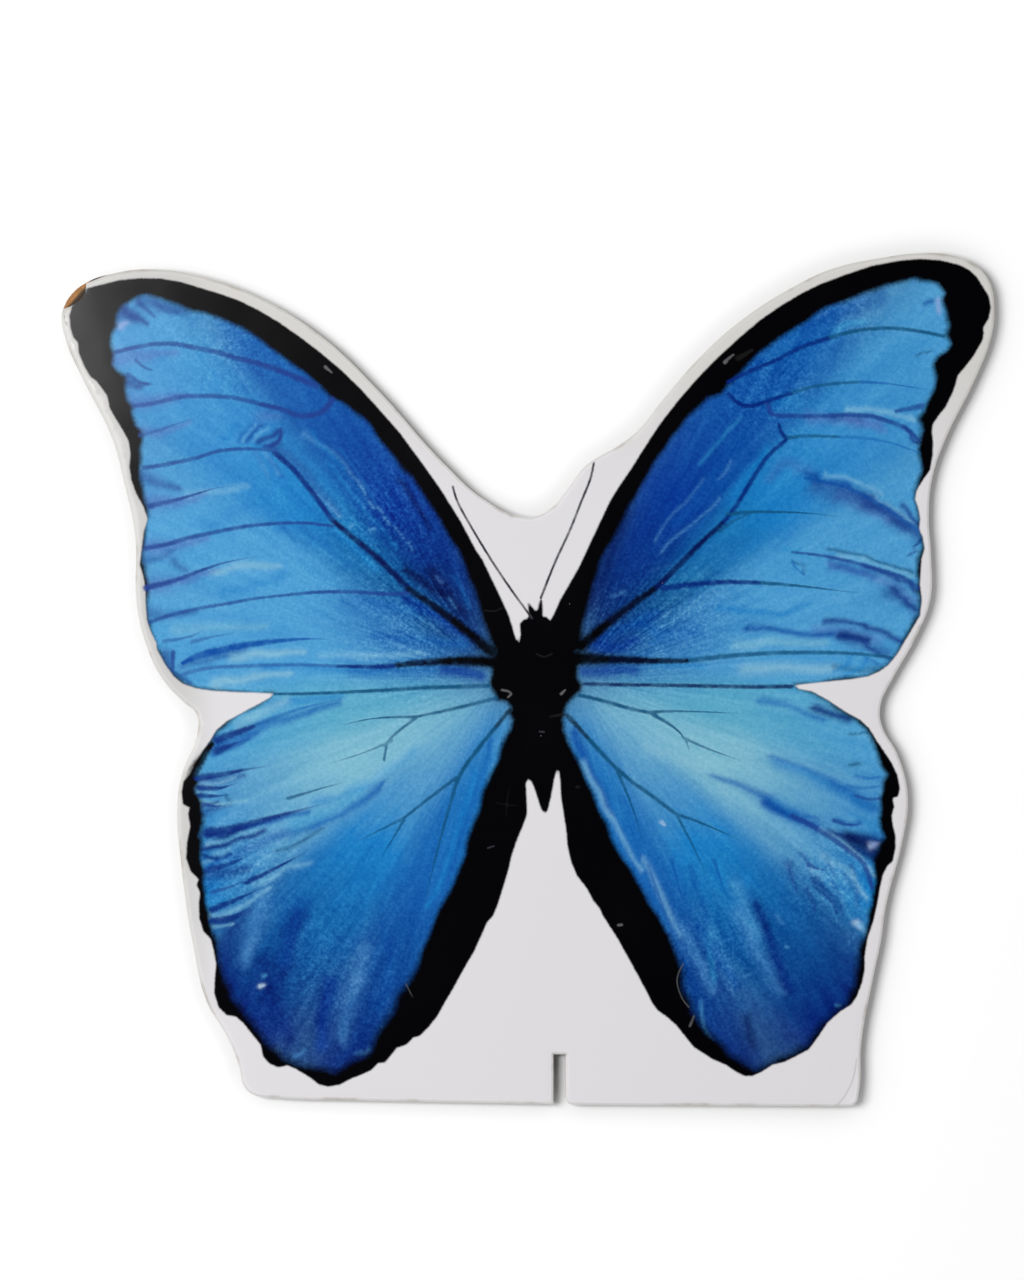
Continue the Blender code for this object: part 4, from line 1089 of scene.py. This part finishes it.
def sorted_by_x(points):
    """The points sorted by x, as nearest_on_path needs them, and the order that puts them
    back."""
    order = np.argsort(points[:, 0], kind="stable")
    return points[order], np.argsort(order)


def by_x(points):
    return sorted_by_x(points)[0]


def wash_rays():
    """The rays of the wash on both sides, each with its two end points and its colours."""
    rays = []
    for side, root in ((-1, LEFT_ROOT), (1, RIGHT_ROOT)):
        for bearing, length, colours in WASH:
            turn = math.radians(bearing)
            margin = (root[0] + side * length * math.cos(turn),
                      root[1] + length * math.sin(turn))
            rays.append((np.array([root, margin]), colours))
    return rays


def wash(points):
    """Colour of the wash: the mean of every ray's colour at its nearest place, weighted
    by one over the cube of the distance's square plus a softness."""
    total = np.zeros((len(points), 3))
    weights = np.zeros(len(points))
    for ray, colours in wash_rays():
        inks = np.array([INK[name] for name in colours])
        stops = np.linspace(0, 1, len(inks))
        distance, along = nearest_on_path(points, ray, WASH_REACH)
        weight = 1.0 / (distance ** 2 + WASH_SOFTNESS ** 2) ** 3
        for channel in range(3):
            total[:, channel] += weight * np.interp(along, stops, inks[:, channel])
        weights += weight
    return total / weights[:, None]


def glaze(points, paint):
    """Lay the soft strokes over the paint: each covers it by its strength times a bell curve
    of the distance over its width, which runs from the first point's to the last's."""
    for name, first_width, last_width, strength, stroke in GLAZE:
        reach = 3.0 * max(first_width, last_width)
        distance, along = nearest_on_path(points, smooth_path(stroke), reach)
        width = first_width + (last_width - first_width) * along
        cover = (strength * np.exp(-(distance / width) ** 2))[:, None]
        paint = paint * (1 - cover) + cover * INK[name]
    return paint


def nearest_line(points):
    """For each point the nearest thin line: its distance over the line's half width, the
    line's strength and its colour. A line whose last half width is 0 fades out in a point."""
    share = np.full(len(points), 6.0)
    strength = np.zeros(len(points))
    ink = np.zeros((len(points), 3))
    for name, first_width, last_width, power, stroke in all_lines():
        distance, along = nearest_on_path(points, smooth_path(stroke), LINE_REACH)
        width = np.maximum(first_width + (last_width - first_width) * along, 0.15)
        fade = 1.0 if last_width else np.clip((1 - along) / 0.4, 0, 1)
        measure = distance / width
        closer = (measure < share) & (distance < LINE_REACH)
        share[closer] = measure[closer]
        strength[closer] = (power * fade * np.ones(len(points)))[closer]
        ink[closer] = INK[name]
    return share, strength, ink


def from_root(points):
    """Way from the root of each point's own wings."""
    left = points[:, 0] < 0.5 * (LEFT_ROOT[0] + RIGHT_ROOT[0])
    return points - np.where(left[:, None], LEFT_ROOT, RIGHT_ROOT), left


def grain_place(points):
    """Grain coordinates in millimetres: the distance from the wing's root, and the bearing
    from it times a middling distance."""
    away, left = from_root(points)
    bearing = np.arctan2(away[:, 1], np.where(left, -away[:, 0], away[:, 0]))
    return np.column_stack([np.hypot(away[:, 0], away[:, 1]), bearing * 60.0,
                            np.where(left, 0.0, 200.0)])


def noise_at(places, seed):
    """Smooth noise from -1 to 1: random numbers on a square lattice of side 1, blended across
    each cell by a smooth step along both axes."""
    table = np.random.default_rng(seed).uniform(-1, 1, (NOISE_SIDE, NOISE_SIDE))
    cell = np.floor(places).astype(int)
    share = places - cell
    u, v = (share * share * (3 - 2 * share)).T
    (i, j), (k, l) = (cell % NOISE_SIDE).T, ((cell + 1) % NOISE_SIDE).T
    return ((table[i, j] * (1 - u) + table[k, j] * u) * (1 - v)
            + (table[i, l] * (1 - u) + table[k, l] * u) * v)


def feather(points, strength):
    """The points moved along their wing's grain by noise that is long along it and narrow
    across it, and a little every way by round noise. What is painted by these places has
    barbed ends across the grain and smooth sides along it."""
    away, _ = from_root(points)
    distance = np.maximum(np.hypot(*away.T), 1.0)
    grain = grain_place(points)[:, :2]
    shift = np.zeros(len(points))
    for seed, (length, width, reach) in enumerate((LONG_BARBS, SHORT_BARBS)):
        shift += reach * noise_at(grain / (length, width), seed)
    shift *= strength * np.clip(distance / 40.0, 0, 1)
    size, reach = WANDER
    sway = np.column_stack([noise_at(points / size, seed) for seed in (2, 3)])
    return points + away / distance[:, None] * shift[:, None] + reach * sway


def film_height(points, edge_distance, settings):
    """Height of the film's face in millimetres: level, rolled down along the edge as the
    square of how far into the rim a point is, though hardly where the chip tore it, and
    lifted at the lower right corner as the square of how far a point is past the fold."""
    height = np.full(len(points), FILM_HIGH.z / MM)
    rim = settings.rim_width / MM
    torn = np.clip(np.hypot(*(points - CHIP_PLACE).T) / CHIP_REACH, 0, 1) ** 4
    height -= torn * settings.rim_drop / MM * np.clip(1 - edge_distance / rim, 0, 1) ** 2
    start, end = (np.array(point) for point in CORNER_FOLD)
    run = (end - start) / np.linalg.norm(end - start)
    past = (points[:, 0] - start[0]) * -run[1] + (points[:, 1] - start[1]) * run[0]
    lift = np.clip(-past / CORNER_REACH, 0, 1) ** 2
    return height + settings.corner_lift / MM * lift


def triangulate(points, ring):
    """Triangles between the points that lie inside the ring, which is the first points in
    anticlockwise order. Of the Delaunay net's triangles, which all run anticlockwise, those
    outside have three corners on the ring and run against its order."""
    count = len(ring)
    sides = [(corner, (corner + 1) % count) for corner in range(count)]
    spots, _, faces, *_ = delaunay_2d_cdt([Vector(point) for point in points], sides, [], 0,
                                          1e-6, False)
    if len(spots) != len(points):
        raise RuntimeError("the film's triangulation changed its vertices")
    faces = np.array(faces)
    first, second, third = faces.T
    rises = (first < second).astype(int) + (second < third) + (third < first)
    return faces[(faces.max(1) >= count) | (rises == 2)]


def make_film(settings):
    """The film's sheet: its triangulated face with the picture painted on the vertices, a
    strip down its edge, and its flat underside."""
    edge = film_outline()
    silhouette = butterfly_outline()
    fields = [closed(np.array(LEFT_BLUE)), closed(np.array(RIGHT_BLUE))]
    ring = divide(edge, EDGE_SPACING)
    flat = by_x(film_points(edge, silhouette, fields))
    rim_distance = np.concatenate([np.zeros(len(ring)), nearest_on_path(flat, edge, FAR)[0]])
    flat = np.vstack([ring, flat])
    height = film_height(flat, rim_distance, settings)
    count, start = len(ring), len(flat)
    low = height[:count] + (settings.rim_drop - settings.thickness) / MM
    points = np.vstack([np.column_stack([flat, height]), np.column_stack([ring, low])]) * MM
    here = np.arange(count)
    following = np.roll(here, -1)
    top = triangulate(flat, ring)
    underside = start + triangulate(ring, ring)[:, ::-1]
    strip = np.column_stack([here, start + here, start + following, following])
    mesh = bpy.data.meshes.new("film_sheet")
    mesh.from_pydata(points.tolist(), [], [*top.tolist(), *underside.tolist(), *strip.tolist()])
    paint_film(mesh, np.vstack([flat, ring]), edge, silhouette, fields)
    mesh.polygons.foreach_set("use_smooth", np.ones(len(mesh.polygons), bool))
    mesh.set_sharp_from_angle(angle=math.radians(40))
    mesh.update()
    sheet = bpy.data.objects.new("film_sheet", mesh)
    bpy.context.scene.collection.objects.link(sheet)
    return sheet


def paint_film(mesh, flat, edge, silhouette, fields):
    """Write the picture to the sheet's vertices: the paint, the lines, the distances to the
    picture's edges and the grain's coordinates."""
    points, back = sorted_by_x(flat)
    share, strength, ink = nearest_line(points)
    store(mesh, "edge_distance", "FLOAT", nearest_on_path(points, edge, FAR)[0][back])
    store(mesh, "silhouette", "FLOAT", depth_in(points, silhouette, FAR)[back])
    store(mesh, "line", "FLOAT", share[back])
    store(mesh, "line_strength", "FLOAT", strength[back])
    store(mesh, "line_ink", "FLOAT_VECTOR", ink[back])
    store(mesh, "grain", "FLOAT_VECTOR", grain_place(flat))
    points, back = sorted_by_x(feather(flat, MARGIN_BARBS))
    blue = np.max([depth_in(points, field, FAR) for field in fields], axis=0)[back]
    softness = 1 + MARGIN_FADE * np.clip((FADE_BELOW - flat[:, 1]) / FADE_REACH, 0, 1)
    store(mesh, "blue", "FLOAT", blue / softness)
    points, back = sorted_by_x(feather(flat, PAINT_BARBS))
    paint = wash(points)[back]
    points, back = sorted_by_x(feather(flat, STROKE_BARBS))
    paint = glaze(points, paint[np.argsort(back)])[back]
    store(mesh, "paint", "FLOAT_VECTOR", paint)
    coarse = sum(share * np.exp(-((flat - (x, y)) ** 2).sum(1) / radius ** 2)
                 for x, y, radius, share in ROUGH)
    store(mesh, "rough", "FLOAT", 0.6 + coarse)


def store(mesh, name, kind, values):
    """Put an attribute of numbers or vectors on the mesh's vertices."""
    attribute = mesh.attributes.new(name, kind, "POINT")
    member = "value" if kind == "FLOAT" else "vector"
    attribute.data.foreach_set(member, values.astype(np.float32).ravel())


def film_finish(settings):
    """Printed film: white, black ink and the painted blue, with the wing scales' mottle,
    thin veins, dust and scratches, under an even gloss."""
    finish = Finish("printed_film")
    place = finish.place()
    x, y, _ = finish.axes(place)
    grain = finish.attribute("grain", 1)
    dots = finish.noise(place, 0.75, 3.0, 0.6)
    scales = finish.noise(finish.stretch(grain, (0.9, 0.45, 1.0)), 1.0, 2.0)
    streaks = finish.noise(finish.stretch(grain, (0.16, 0.9, 1.0)), 1.0, 3.0)
    bands = finish.noise(finish.stretch(grain, (0.04, 0.3, 1.0)), 1.0, 3.0)
    broad = finish.noise(place, 6.0, 2.0)

    # white border, with painted shade towards the top, towards the left tip and on the rolled rim along
    # the cut, and patchy grime along the cut
    edge_distance = finish.attribute("edge_distance")
    white = finish.opaque(linear((216, 214, 217)))
    # painted shade: the white border is darker towards the top
    painted_shade_upper = finish.step(y, 45.0, 85.0)
    white = finish.mix(painted_shade_upper * 0.8, white, finish.opaque(linear((202, 200, 195))))
    # painted shade: the white border is darker towards the left tip
    left = finish.step(x, -76.0, -88.0)
    white = finish.mix(left * 0.9, white, finish.opaque(linear((194, 193, 191))))
    # painted shade on the rolled rim along the cut
    cut = finish.step(edge_distance, 0.8, 0.3)
    white = finish.mix(cut * 0.5, white, finish.opaque(linear((186, 184, 178))))
    grime = finish.step(edge_distance, 1.2, 0.1) * finish.step(broad, 0.5, 0.75)
    white = finish.mix(grime * 0.5, white, finish.opaque(linear((140, 130, 116))))

    # blue wings: the mottle raises every channel to a power that wavers about 1
    mottle = ((dots - 0.5) * 0.75 + (scales - 0.5) * 0.25 + (streaks - 0.5) * 0.35
              + (bands - 0.5) * 0.6) * settings.grain
    blue = finish.node("ShaderNodeGamma", {}, {0: finish.attribute("paint", 1),
                                               1: settings.depth - mottle * finish.attribute("rough")})
    ragged = (dots - 0.5) * 0.6
    blue_cover = finish.step(finish.attribute("blue") + ragged, -0.9, 1.0)
    body = finish.mix(blue_cover, finish.opaque(INK["ink"]), blue)
    black_cover = finish.step(finish.attribute("silhouette") + (dots - 0.5) * 0.3, -0.3, 0.3)
    colour = finish.mix(black_cover, white, body)

    # veins, antennae and hairs, which fade in places
    line = finish.attribute("line") + (dots - 0.5) * 0.9
    faint = finish.step(finish.noise(place, 3.5, 2.0), 0.3, 0.6)
    cover = finish.step(line, 1.8, 0.45) * finish.attribute("line_strength") * (0.75 + 0.25 * faint)
    colour = finish.mix(cover, colour, finish.attribute("line_ink", 1))

    # dust
    dust = finish.specks(place, 9.0, 0.16) * finish.step(finish.noise(place, 30.0), 0.45, 0.6)
    colour = finish.mix(dust * 0.35, colour, finish.opaque(linear((150, 150, 150))))

    finish.feed(finish.shader.inputs["Base Color"], colour)
    smudges = finish.step(finish.noise(place, 22.0, 3.0), 0.4, 0.75)
    worn = finish.step(edge_distance, 1.5, 0.4) * (1.0 - black_cover)
    finish.feed(finish.shader.inputs["Roughness"],
                settings.roughness + smudges * 0.02 + dust * 0.3 + worn * 0.3)
    finish.shader.inputs["Specular IOR Level"].default_value = 0.5
    relief = finish.noise(place, 12.0, 1.0) + dots * 0.02
    finish.feed(finish.shader.inputs["Normal"], finish.bump(relief, 0.00003))
    return finish.material


def board_finish(settings):
    """Fibreboard: a smooth tan back, charred striated cut sides, and bare brown fibres where
    the tip has chipped."""
    finish = Finish("fibreboard")
    place = finish.place()
    x, y, _ = finish.axes(place)
    normal = finish.axes(finish.node("ShaderNodeNewGeometry", {}, {}, 1))
    fibres = finish.noise(finish.stretch(place, (1.0, 1.0, 2.5)), 0.5, 4.0, 0.65)
    flecks = finish.noise(finish.stretch(place, (1.0, 2.2, 1.0)), 1.6, 3.0, 0.6)
    patches = finish.noise(place, 25.0, 2.0)

    bare = finish.mix(finish.step(fibres, 0.35, 0.65),
                      finish.opaque(np.array(settings.fibre_colour) * 0.55),
                      finish.opaque(np.array(settings.fibre_colour) * 1.5))
    back = finish.mix(finish.step(flecks, 0.3, 0.7),
                      finish.opaque(np.array(settings.back_colour) * 0.8),
                      finish.opaque(np.array(settings.back_colour) * 1.15))
    back = finish.mix(patches * 0.3, back, finish.opaque(np.array(settings.back_colour) * 0.7))
    striae = finish.noise(finish.stretch(place, (2.2, 2.2, 0.12)), 1.0, 2.0)
    char = finish.mix(finish.step(striae, 0.35, 0.75), finish.opaque(settings.char_colour),
                      finish.opaque(np.array(settings.fibre_colour) * 0.16))

    facing = finish.math("ABSOLUTE", normal[2])
    side = finish.step(facing, 0.5, 0.3)
    chip = finish.step(facing, 0.3, 0.5) * finish.step(normal[2], 0.95, 0.85)
    colour = finish.mix(side, back, char)
    colour = finish.mix(chip, colour, bare)

    # painted shadow on the break along the film, which overhangs it
    start, end = CHIP_LINE
    run = (np.array(end) - start) / np.linalg.norm(np.array(end) - start)
    outward = y * run[0] - x * run[1] + (start[0] * run[1] - start[1] * run[0])
    painted_overhang_shadow = finish.step(outward, 0.9, 0.1) * finish.step(normal[2], 0.2, 0.4)
    colour = finish.mix(painted_overhang_shadow * 0.9, colour, finish.opaque(linear((34, 22, 14))))
    finish.feed(finish.shader.inputs["Base Color"], colour)
    finish.feed(finish.shader.inputs["Roughness"], 0.72 + fibres * 0.2)
    finish.feed(finish.shader.inputs["Normal"], finish.bump(fibres + striae * side, 0.00012))
    return finish.material


class PANEL_OT_finish_board(bpy.types.Operator):
    """Give the fibreboard its charred sides, bare chip and smooth back"""

    bl_idname = "butterfly_panel.finish_board"
    bl_label = "Finish board"

    def execute(self, context):
        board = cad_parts["board"]
        board.data.materials.clear()
        board.data.materials.append(board_finish(context.scene.panel_board))
        return {"FINISHED"}


class PANEL_OT_lay_film(bpy.types.Operator):
    """Make the printed film with the butterfly and lay it on the board"""

    bl_idname = "butterfly_panel.lay_film"
    bl_label = "Lay film"

    def execute(self, context):
        settings = context.scene.panel_film
        sheet = make_film(settings)
        sheet.data.materials.append(film_finish(settings))
        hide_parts("printed_film")
        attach(sheet, "root")
        return {"FINISHED"}


def floor_finish(colour):
    """Matt pale paper with a faint tooth."""
    finish = Finish("pale_floor")
    place = finish.place()
    tooth = finish.noise(place, 1.2, 3.0)
    paper = finish.mix(tooth, finish.opaque(np.array(colour) * 0.995), finish.opaque(colour))
    finish.feed(finish.shader.inputs["Base Color"], paper)
    finish.shader.inputs["Roughness"].default_value = 0.9
    finish.shader.inputs["Specular IOR Level"].default_value = 0.2
    return finish.material


def add_floor(colour):
    """A big square just under the panel."""
    half = 3.0
    low = BOARD_LOW.z
    corners = [(-half, -half, low), (half, -half, low), (half, half, low), (-half, half, low)]
    mesh = bpy.data.meshes.new("floor")
    mesh.from_pydata(corners, [], [(0, 1, 2, 3)])
    mesh.materials.append(floor_finish(colour))
    floor = bpy.data.objects.new("floor", mesh)
    bpy.context.scene.collection.objects.link(floor)


def add_softbox(name, place, aim, size, power):
    """A square area light that faces the point it is aimed at."""
    light = bpy.data.lights.new(name, "AREA")
    light.shape = "SQUARE"
    light.size = size
    light.energy = power
    lamp = bpy.data.objects.new(name, light)
    lamp.location = place
    lamp.rotation_mode = "QUATERNION"
    lamp.rotation_quaternion = (Vector(aim) - Vector(place)).to_track_quat("-Z", "Y")
    bpy.context.scene.collection.objects.link(lamp)
    return lamp


def light_tent(strength):
    """A world that is bright in a ring half-way up and dark overhead, so that the gloss
    mirrors the dark ceiling: the strength follows a ramp of the direction's height."""
    world = bpy.data.worlds.new("light_tent")
    world.use_nodes = True
    tree = world.node_tree
    way = tree.nodes.new("ShaderNodeTexCoord")
    parts = tree.nodes.new("ShaderNodeSeparateXYZ")
    ramp = tree.nodes.new("ShaderNodeValToRGB")
    ramp.color_ramp.interpolation = "EASE"
    low, high = ramp.color_ramp.elements
    for stop, (height, share) in zip((low, high), TENT_STOPS[:2]):
        stop.position = height
        stop.color = (share, share, share, 1)
    for height, share in TENT_STOPS[2:]:
        ramp.color_ramp.elements.new(height).color = (share, share, share, 1)
    background = tree.nodes["Background"]
    background.inputs["Strength"].default_value = strength
    tree.links.new(way.outputs["Generated"], parts.inputs[0])
    tree.links.new(parts.outputs["Z"], ramp.inputs[0])
    tree.links.new(ramp.outputs[0], background.inputs["Color"])
    return world


class PANEL_OT_set_stage(bpy.types.Operator):
    """Set the floor, the soft light and the camera that looks straight down"""

    bl_idname = "butterfly_panel.set_stage"
    bl_label = "Set stage"

    def execute(self, context):
        settings = context.scene.panel_stage
        add_floor(settings.floor_colour)
        add_softbox("left_softbox", SOFTBOX_PLACE, (0, 0, 0), SOFTBOX_SIZE,
                    settings.softbox_power)
        add_softbox("window", WINDOW_PLACE, WINDOW_AIM, WINDOW_SIZE, settings.window_power)
        context.scene.world = light_tent(settings.tent_strength)
        context.scene.view_settings.view_transform = "Standard"
        camera = bpy.data.cameras.new("camera")
        camera.sensor_width = 36.0
        camera.lens = camera.sensor_width * settings.camera_height / settings.picture_height
        holder = bpy.data.objects.new("camera", camera)
        holder.location = (*PICTURE_CENTRE, FILM_HIGH.z + settings.camera_height)
        context.scene.collection.objects.link(holder)
        context.scene.camera = holder
        return {"FINISHED"}


class PANEL_PT_butterfly(bpy.types.Panel):
    """Lists the steps that dress the panel"""

    bl_idname = "PANEL_PT_butterfly"
    bl_label = "Butterfly panel"
    bl_space_type = "VIEW_3D"
    bl_region_type = "UI"
    bl_category = "Butterfly panel"

    def draw(self, context):
        for operator, settings in STEPS:
            box = self.layout.box()
            box.operator(operator.bl_idname)
            group = getattr(context.scene, settings)
            for name in group.__annotations__:
                box.prop(group, name)


STEPS = (
    (PANEL_OT_finish_board, "panel_board"),
    (PANEL_OT_lay_film, "panel_film"),
    (PANEL_OT_set_stage, "panel_stage"),
)
GROUPS = {
    "panel_board": BoardSettings,
    "panel_film": FilmSettings,
    "panel_stage": StageSettings,
}


def register():
    for name, group in GROUPS.items():
        bpy.utils.register_class(group)
        setattr(bpy.types.Scene, name, bpy.props.PointerProperty(type=group))
    for operator, _ in STEPS:
        bpy.utils.register_class(operator)
    bpy.utils.register_class(PANEL_PT_butterfly)


def unregister():
    bpy.utils.unregister_class(PANEL_PT_butterfly)
    for operator, _ in reversed(STEPS):
        bpy.utils.unregister_class(operator)
    for name, group in GROUPS.items():
        delattr(bpy.types.Scene, name)
        bpy.utils.unregister_class(group)


def main():
    register()
    bpy.ops.butterfly_panel.finish_board()
    bpy.ops.butterfly_panel.lay_film()
    bpy.ops.butterfly_panel.set_stage()


if __name__ == "__main__":
    main()
